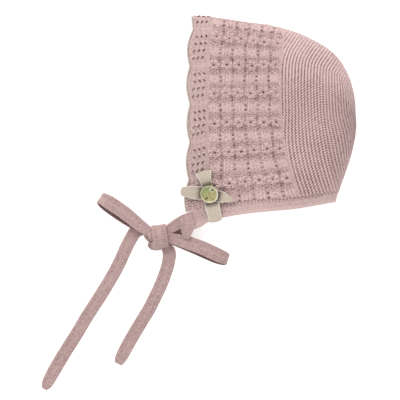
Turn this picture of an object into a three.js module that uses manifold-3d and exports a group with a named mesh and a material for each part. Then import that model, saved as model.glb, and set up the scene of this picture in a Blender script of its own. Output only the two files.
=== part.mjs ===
// A knitted baby bonnet, folded flat on its side with its ties in a bow. Millimetres, +Z up.
// X runs from the face edge to the crown, Y from the neck edge to the top fold.
import * as THREE from "three";
import { mergeVertices } from "three/addons/utils/BufferGeometryUtils.js";
import Module from "manifold-3d";

const wasm = await Module();
wasm.setup();

// Driving dimensions of the folded bonnet
const BONNET_DEPTH = 133.6; // face edge to crown
const BONNET_HEIGHT = 163.2; // neck edge at the front to the top fold
const FOLD_LEVEL = 13; // the fold line above the surface that the bonnet lies on
const FACE_LOFT = 13; // rise of the upper half over the fold line at the face edge
const CROWN_LOFT = 21; // the same at the crown
const NECK_DROP = 5; // how much lower the upper half lies along the neck edge
const CORNER_DROP = 11; // how much further the tied corner is pulled down
const CORNER_REACH = 42; // how far that pull is felt
const UPPER_ROUND = 46; // from the fold line to where the upper half is level
const LOWER_ROUND = 20; // from the fold line to where the lower half lies flat
const LOFT_SHARE = 0.75; // of the depth, over which the loft grows from face edge to crown
const NECK_SHARE = 0.4; // of the height, over which the neck drop fades
const BEYOND_FOLD = 1.03; // share of the height that lies outside the fold everywhere
const POLE = { depth: 0.997, height: 0.49 }; // where the crown's ridges close up

// Walls and gaps
const FRONT_WALL = 2.6;
const BACK_WALL = 2.8;
const BAND_WALL = 2.4;
const LACE_WALL = 1.8;
const SEAM_GAP = 0.4; // between pieces that are knitted or sewn together
const SEAT_GAP = 0.3; // under a piece that lies on another
const SLIVER = 0.03; // joining and cutting leave no faces narrower than this

// Knitted relief
const STAR_PITCH = 22.2; // from one row of stars to the next
const STAR_WIDTH = 9.9; // from one column of stars to the next
const STAR_RELIEF = 0.8;
const GARTER_PITCH = 2.5;
const GARTER_RELIEF = 0.7;

// Lace border and its edging
const LACE_WIDTH = 14.8;
const SCALLOP_PITCH = 30;
const SCALLOP_DEPTH = 2.6;
const EYELET_PITCH = 5.4; // along the edge
const EYELET_LENGTH = 2.1;
const EYELET_ROWS = 4; // in each scallop
const EYELET_COLUMNS = 3;
const EYELET_INSET = 2.2; // from the face edge to the first eyelet
const EYELET_WIDTH = 2;
const EYELET_SPACING = 3.7; // across the border
const EDGING_WIDTH = 1.7;

// Neck band
const BAND_WIDTH = 9.6;
const BAND_START = 3.2; // from the face line back to the front ends of the band

// Ties and their bow
const TIE_WIDTH = 10.5;
const TIE_THICKNESS = 2.6;
const LEFT_TAIL_REACH = 152.2;
const LEFT_TAIL_HEADING = -127;
const RIGHT_TAIL_REACH = 106.6;
const RIGHT_TAIL_HEADING = -107.7;
const LEFT_LOOP_REACH = 55.2;
const LEFT_LOOP_HEADING = 146.8;
const RIGHT_LOOP_REACH = 57.4;
const RIGHT_LOOP_HEADING = -17.2;
const LOOP_HEIGHT = 11;
const KNOT_AHEAD = 24.4; // the knot's middle, ahead of the face line
const KNOT_BELOW = 13.4; // and below the front of the neck edge
const KNOT_WIDTH = 12.4;
const KNOT_LENGTH = 18.4;
const KNOT_HEIGHT = 13.4;

// Button and ribbon
const BUTTON_BACK = 17.4; // the button's middle, behind the face line
const BUTTON_UP = 20.9; // and above the front of the neck edge
const BUTTON_DIAMETER = 14.4;
const BUTTON_THICKNESS = 2.2;
const BUTTON_RIM = 0.7;
const BUTTON_HOLE = 1.8;
const BUTTON_HOLE_SPACING = 8.2;
const BUTTON_HOLE_ANGLE = 58; // of the line through both holes
const BUTTON_EDGE = 0.6; // how far the underside is rounded off
const THREAD_DIAMETER = 1.2;
const RIBBON_THICKNESS = 0.8;
const RIBBON_WIDTH = 10;
const RIBBON_LIFT = 1; // how far a lobe's upper layer stands over its lower one
const RIBBON_LOWER = 0.5; // middle of the lower layer, as a share of the thickness
const RIBBON_UPPER = 1.6; // and of the upper layer
const RIBBON_STACK = 2.2; // both layers together
const RIBBON_MIDDLE = 6.4; // diameter of the gathered middle under the button
const RIBBON_SEAT = 0.6; // between the ribbon and the raised stitches below it

// The fold line in plan, as shares of the bonnet's depth and height
const FOLD_LINE = [
  { depth: -0.05, height: 1.004 },
  { depth: 0.126, height: 0.995 },
  { depth: 0.341, height: 0.971 },
  { depth: 0.485, height: 0.954 },
  { depth: 0.629, height: 0.922 },
  { depth: 0.737, height: 0.884 },
  { depth: 0.844, height: 0.83 },
  { depth: 0.916, height: 0.765 },
  { depth: 0.97, height: 0.67 },
  { depth: 0.998, height: 0.53 },
  { depth: 0.994, height: 0.42 },
  { depth: 0.964, height: 0.305 },
  { depth: 0.898, height: 0.147 },
  { depth: 0.868, height: 0.075 },
  { depth: 0.84, height: 0 },
];

// The upright lines at each share of the height: face edge and seam as shares of the depth,
// the lace border's width as a share of its own
const UPRIGHTS = [
  { height: -0.05, face: -0.014, lace: 1.2, seam: 0.72 },
  { height: 0.074, face: -0.012, lace: 1.15, seam: 0.68 },
  { height: 0.147, face: -0.006, lace: 1.05, seam: 0.647 },
  { height: 0.294, face: 0, lace: 1, seam: 0.593 },
  { height: 0.441, face: 0.004, lace: 0.98, seam: 0.563 },
  { height: 0.588, face: 0.003, lace: 1, seam: 0.551 },
  { height: 0.735, face: 0.002, lace: 1, seam: 0.551 },
  { height: 0.833, face: 0.006, lace: 1, seam: 0.561 },
  { height: 0.931, face: 0.022, lace: 1, seam: 0.581 },
  { height: 1.03, face: 0.04, lace: 1, seam: 0.605 },
];

// The neck band's upper edge as a share of the height, and its width as a share of its own
const NECK_LINE = [
  { depth: -0.02, top: 0.04, width: 1.5 },
  { depth: 0.054, top: 0.05, width: 1.5 },
  { depth: 0.102, top: 0.06, width: 1.25 },
  { depth: 0.162, top: 0.071, width: 1.12 },
  { depth: 0.329, top: 0.093, width: 1.08 },
  { depth: 0.479, top: 0.103, width: 1.02 },
  { depth: 0.635, top: 0.11, width: 0.94 },
  { depth: 0.844, top: 0.137, width: 0.9 },
  { depth: 0.964, top: 0.155, width: 0.9 },
];

// Above the mitre the garter ridges lean back, to meet the fold squarely
const MITRE = [
  { back: 0, height: 0.78, lean: 0.25 },
  { back: 0.5, height: 0.76, lean: 0.7 },
  { back: 0.8, height: 0.7, lean: 1.1 },
  { back: 1, height: 0.6, lean: 1.5 },
];
const MITRE_SOFTNESS = 8;

// Free ends: along as a share of the reach, side of the tie's width, lift of its thickness
const LEFT_TAIL = [
  { along: 0.02, side: -0.5, lift: 0.55, width: 0.7 },
  { along: 0.012, side: -1.05, lift: 0.55, width: 0.85 },
  { along: 0.026, side: -1.45, lift: 0.5, width: 1 },
  { along: 0.056, side: -1.64, lift: 0.5, width: 1 },
  { along: 0.105, side: -1.58, lift: 0.5, width: 1 },
  { along: 0.164, side: -1.42, lift: 0.5, width: 1 },
  { along: 0.24, side: -1.17, lift: 0.5, width: 1 },
  { along: 0.335, side: -0.97, lift: 0.5, width: 1 },
  { along: 0.446, side: -0.82, lift: 0.5, width: 1 },
  { along: 0.558, side: -0.7, lift: 0.5, width: 1 },
  { along: 0.666, side: -0.53, lift: 0.5, width: 1 },
  { along: 0.778, side: -0.4, lift: 0.5, width: 1 },
  { along: 0.889, side: -0.22, lift: 0.5, width: 1 },
  { along: 0.97, side: -0.04, lift: 0.5, width: 0.85 },
  { along: 1, side: 0.02, lift: 0.5, width: 0.4 },
];
const RIGHT_TAIL = [
  { along: 0.01, side: 0.25, lift: 0.55, width: 0.7 },
  { along: 0.05, side: 0.75, lift: 0.55, width: 0.85 },
  { along: 0.09, side: 1.15, lift: 0.5, width: 1 },
  { along: 0.15, side: 1.3, lift: 0.5, width: 1 },
  { along: 0.22, side: 1.34, lift: 0.5, width: 1 },
  { along: 0.343, side: 1.28, lift: 0.5, width: 1 },
  { along: 0.443, side: 1.14, lift: 0.5, width: 1 },
  { along: 0.542, side: 0.98, lift: 0.5, width: 1 },
  { along: 0.646, side: 0.72, lift: 0.5, width: 1 },
  { along: 0.748, side: 0.48, lift: 0.5, width: 1 },
  { along: 0.85, side: 0.26, lift: 0.5, width: 1 },
  { along: 0.95, side: 0.08, lift: 0.5, width: 0.92 },
  { along: 1, side: 0, lift: 0.5, width: 0.6 },
];

// A bow loop out and back: along the reach, side and width of the tie's width, lift of the
// loop's height, lean in degrees
const LEFT_LOOP = [
  { along: 0.06, side: 0.05, lift: 0.74, lean: 0, width: 0.6 },
  { along: 0.3, side: 0.16, lift: 0.86, lean: 8, width: 0.9 },
  { along: 0.6, side: 0.08, lift: 0.92, lean: 16, width: 1 },
  { along: 0.86, side: 0.06, lift: 0.86, lean: 16, width: 1 },
  { along: 0.97, side: 0.02, lift: 0.68, lean: 10, width: 1 },
  { along: 1, side: -0.04, lift: 0.48, lean: 6, width: 1 },
  { along: 0.97, side: -0.1, lift: 0.27, lean: 0, width: 1 },
  { along: 0.86, side: -0.2, lift: 0.14, lean: 0, width: 1 },
  { along: 0.68, side: -0.24, lift: 0.18, lean: 0, width: 1 },
  { along: 0.46, side: -0.14, lift: 0.41, lean: 0, width: 0.95 },
  { along: 0.24, side: 0, lift: 0.43, lean: 0, width: 0.8 },
  { along: 0.06, side: 0.05, lift: 0.43, lean: 0, width: 0.6 },
];
const RIGHT_LOOP = [
  { along: 0.06, side: 0.1, lift: 0.74, lean: 0, width: 0.6 },
  { along: 0.3, side: 0.22, lift: 0.8, lean: -6, width: 0.9 },
  { along: 0.6, side: 0.2, lift: 0.84, lean: -14, width: 1 },
  { along: 0.86, side: 0.02, lift: 0.8, lean: -14, width: 1 },
  { along: 0.97, side: -0.04, lift: 0.64, lean: -8, width: 1 },
  { along: 1, side: -0.1, lift: 0.46, lean: 0, width: 1 },
  { along: 0.97, side: -0.14, lift: 0.27, lean: 0, width: 1 },
  { along: 0.86, side: -0.16, lift: 0.14, lean: 0, width: 1 },
  { along: 0.68, side: -0.06, lift: 0.18, lean: 0, width: 1 },
  { along: 0.46, side: 0.06, lift: 0.4, lean: 0, width: 0.95 },
  { along: 0.24, side: 0.1, lift: 0.43, lean: 0, width: 0.8 },
  { along: 0.06, side: 0.05, lift: 0.43, lean: 0, width: 0.6 },
];

// From each band end to the knot: along the way, side and width of the tie's width, and the
// height between that of the band's end (0) and that of the knot (1)
const NEAR_LEAD = [
  { along: 0, side: 0, width: 1.28, settle: 0 },
  { along: 0.14, side: 0.1, width: 1.05, settle: 0.15 },
  { along: 0.34, side: 0.22, width: 0.95, settle: 0.4 },
  { along: 0.6, side: 0.18, width: 0.8, settle: 0.7 },
  { along: 0.85, side: 0.06, width: 0.6, settle: 1 },
];
const FAR_LEAD = [
  { along: 0, side: 0, width: 1.28, settle: 0 },
  { along: 0.12, side: 0, width: 1.1, settle: 0 },
  { along: 0.3, side: -0.14, width: 1, settle: 0 },
  { along: 0.5, side: -0.26, width: 0.9, settle: 0 },
  { along: 0.7, side: -0.22, width: 0.75, settle: 0.1 },
  { along: 0.86, side: -0.1, width: 0.6, settle: 0.2 },
];

// The near tie's fold, ahead of the band's end and down from it by shares of the tie's width
const TIE_FOLD = [
  { ahead: 0.66, down: -0.1, lift: 0.8, width: 0.66 },
  { ahead: 0.64, down: 0.25, lift: 0.95, width: 0.84 },
  { ahead: 0.59, down: 0.69, lift: 1.05, width: 0.92 },
  { ahead: 0.57, down: 1.22, lift: 1.08, width: 0.68 },
  { ahead: 0.51, down: 1.75, lift: 1.06, width: 0.24 },
];

// A strap's section: out and up as shares of half its width and thickness
const STRAP_SECTION = [
  { out: 1, up: 0 },
  { out: 0.74, up: 1 },
  { out: -0.74, up: 1 },
  { out: -1, up: 0 },
  { out: -0.74, up: -1 },
  { out: 0.74, up: -1 },
];

// The knot's lumps, as shares of its width, length and height
const KNOT_LUMPS = [
  { across: 0.1, along: 0.02, width: 1.04, length: 0.94, height: 1, turn: 8 },
  { across: -0.5, along: 0.08, width: 0.85, length: 0.66, height: 0.76, turn: 30 },
  { across: -0.15, along: -0.36, width: 1.1, length: 0.46, height: 0.66, turn: 0 },
];

// The ribbon's lobes: heading in degrees, length and widths as shares of the ribbon's width
const RIBBON_LOBES = [
  { heading: 108, length: 1.86, root: 0.5, middle: 0.8, end: 1.15 },
  { heading: 175, length: 2.3, root: 0.95, middle: 1.06, end: 0.72 },
  { heading: -16, length: 2.14, root: 0.9, middle: 0.9, end: 0.24 },
  { heading: -80, length: 2.26, root: 0.9, middle: 1, end: 0.84 },
];

// How finely the surfaces are divided
const FOLD_STEPS = 96;
const ROW_SAMPLES = 60;
const BACK_HALF_STEPS = 7;
const BAND_HALF_STEPS = 14;
const BAND_ROWS = 2;
const RIBBON_STEPS = 5;
const EDGING_SIDES = 4;
const LUMP_SIDES = 10;
const BUTTON_SIDES = 20;
const HOLE_SIDES = 12;
const THREAD_SIDES = 8;
const MIDDLE_SIDES = 12;
const TAIL_STATIONS = 1.4; // for each row of the table
const LOOP_STATIONS = 1.7;
const LEAD_STATIONS = 1.6;
const BACK_CROWDING = 1.35; // power that crowds a row's points towards the fold
const BAND_CROWDING = 1.5;

const UP = new THREE.Vector3(0, 0, 1);
const radians = THREE.MathUtils.degToRad;

// Value of one column of a table at a key: a smooth curve through its rows
function readTable(table, keyColumn, valueColumn, key) {
  const last = table.length - 1;
  let row = 0;
  while (row < last - 1 && key > table[row + 1][keyColumn]) row += 1;
  const slopeAt = (k) => {
    const before = table[Math.max(k - 1, 0)];
    const after = table[Math.min(k + 1, last)];
    return (after[valueColumn] - before[valueColumn]) / (after[keyColumn] - before[keyColumn]);
  };
  const from = table[row];
  const to = table[row + 1];
  if (key <= from[keyColumn]) return from[valueColumn] + slopeAt(row) * (key - from[keyColumn]);
  if (key >= to[keyColumn]) return to[valueColumn] + slopeAt(row + 1) * (key - to[keyColumn]);
  const span = to[keyColumn] - from[keyColumn];
  const t = (key - from[keyColumn]) / span;
  const t2 = t * t;
  const t3 = t2 * t;
  return (
    from[valueColumn] * (2 * t3 - 3 * t2 + 1) +
    slopeAt(row) * span * (t3 - 2 * t2 + t) +
    to[valueColumn] * (3 * t2 - 2 * t3) +
    slopeAt(row + 1) * span * (t3 - t2)
  );
}

const smooth = (t) => {
  const c = Math.min(Math.max(t, 0), 1);
  return c * c * (3 - 2 * c);
};
const mix = (a, b, t) => a + (b - a) * t;

// The fold line as a fine polyline, with the run of each of its points
function foldPolyline() {
  let run = 0;
  const rows = FOLD_LINE.map((row, k) => {
    const before = FOLD_LINE[Math.max(k - 1, 0)];
    const dx = (row.depth - before.depth) * BONNET_DEPTH;
    const dy = (row.height - before.height) * BONNET_HEIGHT;
    run += Math.hypot(dx, dy);
    return { run, x: row.depth * BONNET_DEPTH, y: row.height * BONNET_HEIGHT };
  });
  const points = [];
  for (let k = 0; k <= FOLD_STEPS; k += 1) {
    const at = (run * k) / FOLD_STEPS;
    points.push(
      new THREE.Vector2(readTable(rows, "run", "x", at), readTable(rows, "run", "y", at)),
    );
  }
  return points;
}
const FOLD = foldPolyline();

// Signed distance in plan from the fold line: positive inside the folded bonnet
function foldDistance(x, y) {
  let best = Infinity;
  let sign = 1;
  for (let k = 0; k < FOLD.length - 1; k += 1) {
    const a = FOLD[k];
    const b = FOLD[k + 1];
    const ex = b.x - a.x;
    const ey = b.y - a.y;
    const t = Math.min(Math.max(((x - a.x) * ex + (y - a.y) * ey) / (ex * ex + ey * ey), 0), 1);
    const dx = x - a.x - ex * t;
    const dy = y - a.y - ey * t;
    const d = dx * dx + dy * dy;
    if (d < best) {
      best = d;
      sign = ex * dy - ey * dx > 0 ? -1 : 1;
    }
  }
  return sign * Math.sqrt(best);
}

// Quarter-round rise from the fold
const roundOver = (t) => (t >= 1 ? 1 : Math.sqrt(Math.max(t * (2 - t), 0)));

function upperHeight(x, y) {
  const loft = mix(FACE_LOFT, CROWN_LOFT, smooth(x / BONNET_DEPTH / LOFT_SHARE));
  const neck = NECK_DROP * (1 - smooth(y / BONNET_HEIGHT / NECK_SHARE));
  const corner = CORNER_DROP * Math.exp(-(x * x + y * y) / CORNER_REACH ** 2);
  return FOLD_LEVEL + (loft - neck - corner) * roundOver(foldDistance(x, y) / UPPER_ROUND);
}

const lowerHeight = (x, y) => FOLD_LEVEL * (1 - roundOver(foldDistance(x, y) / LOWER_ROUND));

// Lines in plan
const faceX = (y) => readTable(UPRIGHTS, "height", "face", y / BONNET_HEIGHT) * BONNET_DEPTH;
const laceX = (y) => faceX(y) + readTable(UPRIGHTS, "height", "lace", y / BONNET_HEIGHT) * LACE_WIDTH;
const seamX = (y) => readTable(UPRIGHTS, "height", "seam", y / BONNET_HEIGHT) * BONNET_DEPTH;
const bandTopY = (x) => readTable(NECK_LINE, "depth", "top", x / BONNET_DEPTH) * BONNET_HEIGHT;
const bandLowY = (x) =>
  bandTopY(x) - readTable(NECK_LINE, "depth", "width", x / BONNET_DEPTH) * BAND_WIDTH;

// Where a line in plan meets the fold, searching from a value inside towards one outside
function meetFold(planAt, inside, outside) {
  let a = inside;
  let b = outside;
  for (let k = 0; k < 40; k += 1) {
    const middle = (a + b) / 2;
    if (foldDistance(...planAt(middle)) > 0) a = middle;
    else b = middle;
  }
  return (a + b) / 2;
}
const upright = (lineX) => (y) => [lineX(y), y];

// Where an upright line meets the neck band's upper edge
function meetBand(lineX) {
  let y = 0;
  for (let k = 0; k < 12; k += 1) y = bandTopY(lineX(y));
  return y + SEAM_GAP;
}

// One half of a knit row, from the fold to its open end: points at shares of its length
function halfRow(plan, heightAt, shares) {
  const samples = [];
  const runs = [0];
  for (let k = 0; k <= ROW_SAMPLES; k += 1) {
    const [x, y] = plan((1 - Math.cos((Math.PI * k) / ROW_SAMPLES)) / 2);
    samples.push(new THREE.Vector3(x, y, heightAt(x, y)));
    if (k) runs.push(runs[k - 1] + samples[k].distanceTo(samples[k - 1]));
  }
  const length = runs[ROW_SAMPLES];
  const points = shares(length).map((share) => {
    const want = share * length;
    let k = 1;
    while (k < ROW_SAMPLES && runs[k] < want) k += 1;
    return samples[k - 1].clone().lerp(samples[k], (want - runs[k - 1]) / (runs[k] - runs[k - 1]));
  });
  return { points, length };
}

// A whole row: up the near half, over the fold and down the far half
function wholeRow(plan, shares) {
  const near = halfRow(plan, upperHeight, shares).points;
  const far = halfRow(plan, lowerHeight, shares).points;
  return [...near.reverse(), ...far.slice(1)];
}

// An upright row through the front, at a share of the way between two lines
function uprightPlan(fromX, toX, share) {
  const lineX = (y) => mix(fromX(y), toX(y), share);
  const low = meetBand(lineX);
  const high = meetFold(upright(lineX), low, BONNET_HEIGHT * BEYOND_FOLD);
  return (t) => {
    const y = mix(high, low, t);
    return [lineX(y), y];
  };
}

// Normals of a grid of points, shared where its edges meet themselves
function gridNormals(grid) {
  const sums = new Map();
  const keyOf = (p) => [p.x, p.y, p.z].map((v) => Math.round(v * 500)).join(",");
  const add = (p, n) => {
    const key = keyOf(p);
    if (!sums.has(key)) sums.set(key, new THREE.Vector3());
    sums.get(key).add(n);
  };
  for (let i = 0; i < grid.length - 1; i += 1)
    for (let j = 0; j < grid[i].length - 1; j += 1) {
      const corners = [grid[i][j], grid[i + 1][j], grid[i + 1][j + 1], grid[i][j + 1]];
      const across = corners[2].clone().sub(corners[0]);
      const other = corners[3].clone().sub(corners[1]);
      const normal = across.cross(other);
      corners.forEach((p) => add(p, normal));
    }
  return grid.map((row) => row.map((p) => sums.get(keyOf(p)).clone().normalize()));
}

// A closed solid from a list of triangles of points, with the faces dropped that cancel out
function solidFrom(triangles) {
  const loose = new THREE.BufferGeometry().setFromPoints(triangles.flat());
  const merged = mergeVertices(loose, 1e-3);
  const index = merged.index.array;
  const faces = new Map();
  for (let k = 0; k < index.length; k += 3) {
    const face = [index[k], index[k + 1], index[k + 2]];
    if (new Set(face).size < 3) continue;
    const key = [...face].sort((a, b) => a - b).join(",");
    if (faces.has(key)) faces.delete(key);
    else faces.set(key, face);
  }
  const place = merged.getAttribute("position");
  const at = (k) => new THREE.Vector3().fromBufferAttribute(place, k);
  let volume = 0;
  for (const [a, b, c] of faces.values()) volume += at(a).dot(at(b).cross(at(c)));
  const kept = [...faces.values()].map((face) => (volume < 0 ? face.reverse() : face));
  merged.setIndex(kept.flat());
  return merged;
}

// Triangles of a grid, facing out or in
function gridFaces(grid, outward) {
  const faces = [];
  for (let i = 0; i < grid.length - 1; i += 1)
    for (let j = 0; j < grid[i].length - 1; j += 1) {
      const quad = [grid[i][j], grid[i + 1][j], grid[i + 1][j + 1], grid[i][j + 1]];
      if (!outward) quad.reverse();
      faces.push([quad[0], quad[1], quad[2]], [quad[0], quad[2], quad[3]]);
    }
  return faces;
}

// The rim between a side of the outer grid and the same side of the inner one
function rimFaces(outer, inner, flip) {
  const faces = [];
  let a = 0;
  let b = 0;
  while (a < outer.length - 1 || b < inner.length - 1) {
    const nextA = (a + 1) / (outer.length - 1);
    const nextB = (b + 1) / (inner.length - 1);
    const advanceOuter = b === inner.length - 1 || (a < outer.length - 1 && nextA <= nextB + 1e-9);
    const face = advanceOuter
      ? [outer[a], outer[a + 1], inner[b]]
      : [outer[a], inner[b + 1], inner[b]];
    if (advanceOuter) a += 1;
    else b += 1;
    faces.push(flip ? face.reverse() : face);
  }
  return faces;
}

// A cloth wall: the outer grid with its relief, the inner one a wall's thickness below it
function clothSolid(base, wall, relief, rowStep = 1, columnStep = 1) {
  const normals = gridNormals(base);
  const outer = base.map((row, i) =>
    row.map((p, j) => {
      const raised = p.clone().addScaledVector(normals[i][j], relief(i, j));
      raised.z = Math.max(raised.z, 0);
      return raised;
    }),
  );
  const inner = base
    .map((row, i) => row.map((p, j) => p.clone().addScaledVector(normals[i][j], -wall)))
    .filter((row, i) => i % rowStep === 0)
    .map((row) => row.filter((p, j) => j % columnStep === 0));
  const side = (grid, j) => grid.map((row) => row.at(j));
  return solidFrom([
    ...gridFaces(outer, true),
    ...gridFaces(inner, false),
    ...rimFaces(outer[0], inner[0], false),
    ...rimFaces(outer.at(-1), inner.at(-1), true),
    ...rimFaces(side(outer, 0), side(inner, 0), true),
    ...rimFaces(side(outer, -1), side(inner, -1), false),
  ]);
}

// Relief fades where a half lies flat on the surface below it
function resting(point) {
  return 1 - smooth((FOLD_LEVEL * 0.6 - point.z) / (FOLD_LEVEL * 0.5));
}

// The star and block knit: raised rows and columns with grooves between them
function frontPanel() {
  const columns = Math.round((seamX(BONNET_HEIGHT / 2) - laceX(BONNET_HEIGHT / 2)) / STAR_WIDTH) * 2;
  const middle = halfRow(uprightPlan(laceX, seamX, 0.5), upperHeight, () => [0]);
  const step = STAR_PITCH / 4 / middle.length;
  const shares = [0, step / 2];
  for (let k = 1; k * step < 1 - step / 3; k += 1) shares.push(k * step);
  shares.push(1);
  const fromX = (y) => laceX(y) + SEAM_GAP / 2;
  const toX = (y) => seamX(y) - SEAM_GAP / 2;
  const base = [];
  for (let i = 0; i <= columns; i += 1)
    base.push(wholeRow(uprightPlan(fromX, toX, i / columns), () => shares));
  const half = shares.length - 1;
  const relief = (i, j) => {
    const along = 0.5 + 0.5 * Math.cos((Math.PI * shares[Math.abs(j - half)]) / step);
    const across = i % 2 ? 1 : 0.35;
    const edge = i === 0 || i === columns ? 0 : 1;
    return STAR_RELIEF * along * across * edge * resting(base[i][j]);
  };
  return clothSolid(base, FRONT_WALL, relief, 4, 2);
}

// The crown: garter ridges that start along the seam and close up towards the pole
function backPanel() {
  const poleY = POLE.height * BONNET_HEIGHT;
  const poleX = POLE.depth * BONNET_DEPTH;
  const reach = poleX - seamX(poleY);
  const leanFrom = 0.3;
  const ridgeX = (back) => (y) => {
    const over = y - readTable(MITRE, "back", "height", back) * BONNET_HEIGHT;
    const bent = (over + Math.hypot(over, MITRE_SOFTNESS)) / 2;
    const start = SEAM_GAP / 2 + back * (reach - SEAM_GAP / 2);
    return seamX(y) + start + readTable(MITRE, "back", "lean", back) * bent * smooth(back / leanFrom);
  };
  // The ridge that runs into the nape, where the band's upper edge reaches the fold
  let nearSeam = 0;
  let nearPole = 1;
  for (let k = 0; k < 30; k += 1) {
    const back = (nearSeam + nearPole) / 2;
    const y = meetBand(ridgeX(back));
    if (foldDistance(ridgeX(back)(y), y) > 0) nearSeam = back;
    else nearPole = back;
  }
  const nape = nearSeam;
  const toNape = Math.round((nape * reach) / GARTER_PITCH);
  const toPole = Math.round(((1 - nape) * reach) / GARTER_PITCH);
  const shares = [];
  for (let k = 0; k <= BACK_HALF_STEPS; k += 1) shares.push((k / BACK_HALF_STEPS) ** BACK_CROWDING);
  const base = [];
  for (let i = 0; i < 2 * (toNape + toPole); i += 1) {
    const ring = i - 2 * toNape;
    const back = ring <= 0 ? (nape * i) / (2 * toNape) : mix(nape, 1, ring / (2 * toPole));
    const lineX = ridgeX(back);
    const start = meetBand(lineX);
    const high = meetFold(upright(lineX), poleY, BONNET_HEIGHT * BEYOND_FOLD);
    const low = ring >= 0 ? meetFold(upright(lineX), poleY, meetBand(lineX) - BAND_WIDTH / 2) : start;
    const plan = (t) => {
      const y = mix(high, low, t);
      return [lineX(y), y];
    };
    const row = wholeRow(plan, () => shares);
    if (ring >= 0) row[row.length - 1] = row[0].clone();
    base.push(row);
  }
  const pole = base.at(-1)[BACK_HALF_STEPS].clone().lerp(base.at(-1)[0], 0.5);
  base.push(base.at(-1).map(() => pole.clone()));
  const relief = (i, j) => {
    const ridge = i % 2 ? 1 : 0;
    return GARTER_RELIEF * ridge * resting(base[i][j]);
  };
  return clothSolid(base, BACK_WALL, relief, 2);
}

// The pierced border: a grid whose lines fall on the sides of the eyelets
function laceGrid() {
  const innerX = (y) => laceX(y) - SEAM_GAP / 2;
  const middle = uprightPlan(faceX, innerX, 0.5);
  const linesOf = (heightAt) => {
    const { length } = halfRow(middle, heightAt, () => [0]);
    const lines = [{ at: 0, open: false }];
    const add = (at, open) => {
      if (at > 0 && at < length - EYELET_LENGTH / 2) lines.push({ at, open });
    };
    for (let scallop = 0; scallop * SCALLOP_PITCH < length + SCALLOP_PITCH / 2; scallop += 1) {
      for (let row = 0; row < EYELET_ROWS; row += 1) {
        const centre = scallop * SCALLOP_PITCH + (row - (EYELET_ROWS - 1) / 2) * EYELET_PITCH;
        const fits = centre > 0 && centre < length - EYELET_LENGTH * 1.5;
        if (!fits) continue;
        add(centre - EYELET_LENGTH / 2, true);
        add(centre + EYELET_LENGTH / 2, false);
      }
      add((scallop + 0.5) * SCALLOP_PITCH, false);
    }
    lines.push({ at: length, open: false });
    return lines.map((line) => ({ ...line, share: line.at / length }));
  };
  const near = linesOf(upperHeight);
  const far = linesOf(lowerHeight);
  const across = [{ at: 0, open: false }];
  for (let column = 0; column < EYELET_COLUMNS; column += 1) {
    const at = EYELET_INSET + column * EYELET_SPACING;
    across.push({ at, open: true }, { at: at + EYELET_WIDTH, open: false });
  }
  across.push({ at: LACE_WIDTH, open: false });
  const runs = [...near.map((line) => line.at).reverse(), ...far.slice(1).map((line) => line.at)];
  const openAlong = [
    ...near.slice(0, -1).map((line) => line.open).reverse(),
    ...far.slice(0, -1).map((line) => line.open),
  ];
  const grid = across.map(({ at }) => {
    const share = at / LACE_WIDTH;
    const plan = uprightPlan(faceX, innerX, share);
    const nearPoints = halfRow(plan, upperHeight, () => near.map((line) => line.share)).points;
    const farPoints = halfRow(plan, lowerHeight, () => far.map((line) => line.share)).points;
    const row = [...nearPoints.reverse(), ...farPoints.slice(1)];
    return row.map((p, j) => {
      const wave = Math.abs(Math.cos((Math.PI * runs[j]) / SCALLOP_PITCH)) - 0.5;
      p.x -= SCALLOP_DEPTH * wave * (1 - share) ** 2;
      return p;
    });
  });
  return { grid, isOpen: (i, j) => across[i].open && openAlong[j] };
}

// A wall with some cells of its grid left open
function piercedSolid(base, wall, isOpen) {
  const normals = gridNormals(base);
  const inner = base.map((row, i) =>
    row.map((p, j) => p.clone().addScaledVector(normals[i][j], -wall)),
  );
  const rows = base.length - 1;
  const columns = base[0].length - 1;
  const solidAt = (i, j) => i >= 0 && j >= 0 && i < rows && j < columns && !isOpen(i, j);
  const faces = [];
  const quad = (a, b, c, d) => faces.push([a, b, c], [a, c, d]);
  for (let i = 0; i < rows; i += 1)
    for (let j = 0; j < columns; j += 1) {
      if (!solidAt(i, j)) continue;
      const ring = [
        [i, j],
        [i + 1, j],
        [i + 1, j + 1],
        [i, j + 1],
      ];
      quad(...ring.map(([a, b]) => base[a][b]));
      quad(...ring.map(([a, b]) => inner[a][b]).reverse());
      const beyond = [
        [i, j - 1],
        [i + 1, j],
        [i, j + 1],
        [i - 1, j],
      ];
      ring.forEach(([a, b], k) => {
        if (solidAt(...beyond[k])) return;
        const [c, d] = ring[(k + 1) % 4];
        quad(base[c][d], base[a][b], inner[a][b], inner[c][d]);
      });
    }
  return solidFrom(faces);
}

// A closed body through a run of like sections, capped at both ends
function sectionSolid(rings) {
  const count = rings[0].length;
  const faces = [];
  for (let k = 0; k < rings.length - 1; k += 1)
    for (let n = 0; n < count; n += 1) {
      const next = (n + 1) % count;
      faces.push([rings[k][n], rings[k][next], rings[k + 1][next]]);
      faces.push([rings[k][n], rings[k + 1][next], rings[k + 1][n]]);
    }
  for (let n = 1; n < count - 1; n += 1) {
    faces.push([rings[0][0], rings[0][n + 1], rings[0][n]]);
    faces.push([rings.at(-1)[0], rings.at(-1)[n], rings.at(-1)[n + 1]]);
  }
  return solidFrom(faces);
}

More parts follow.
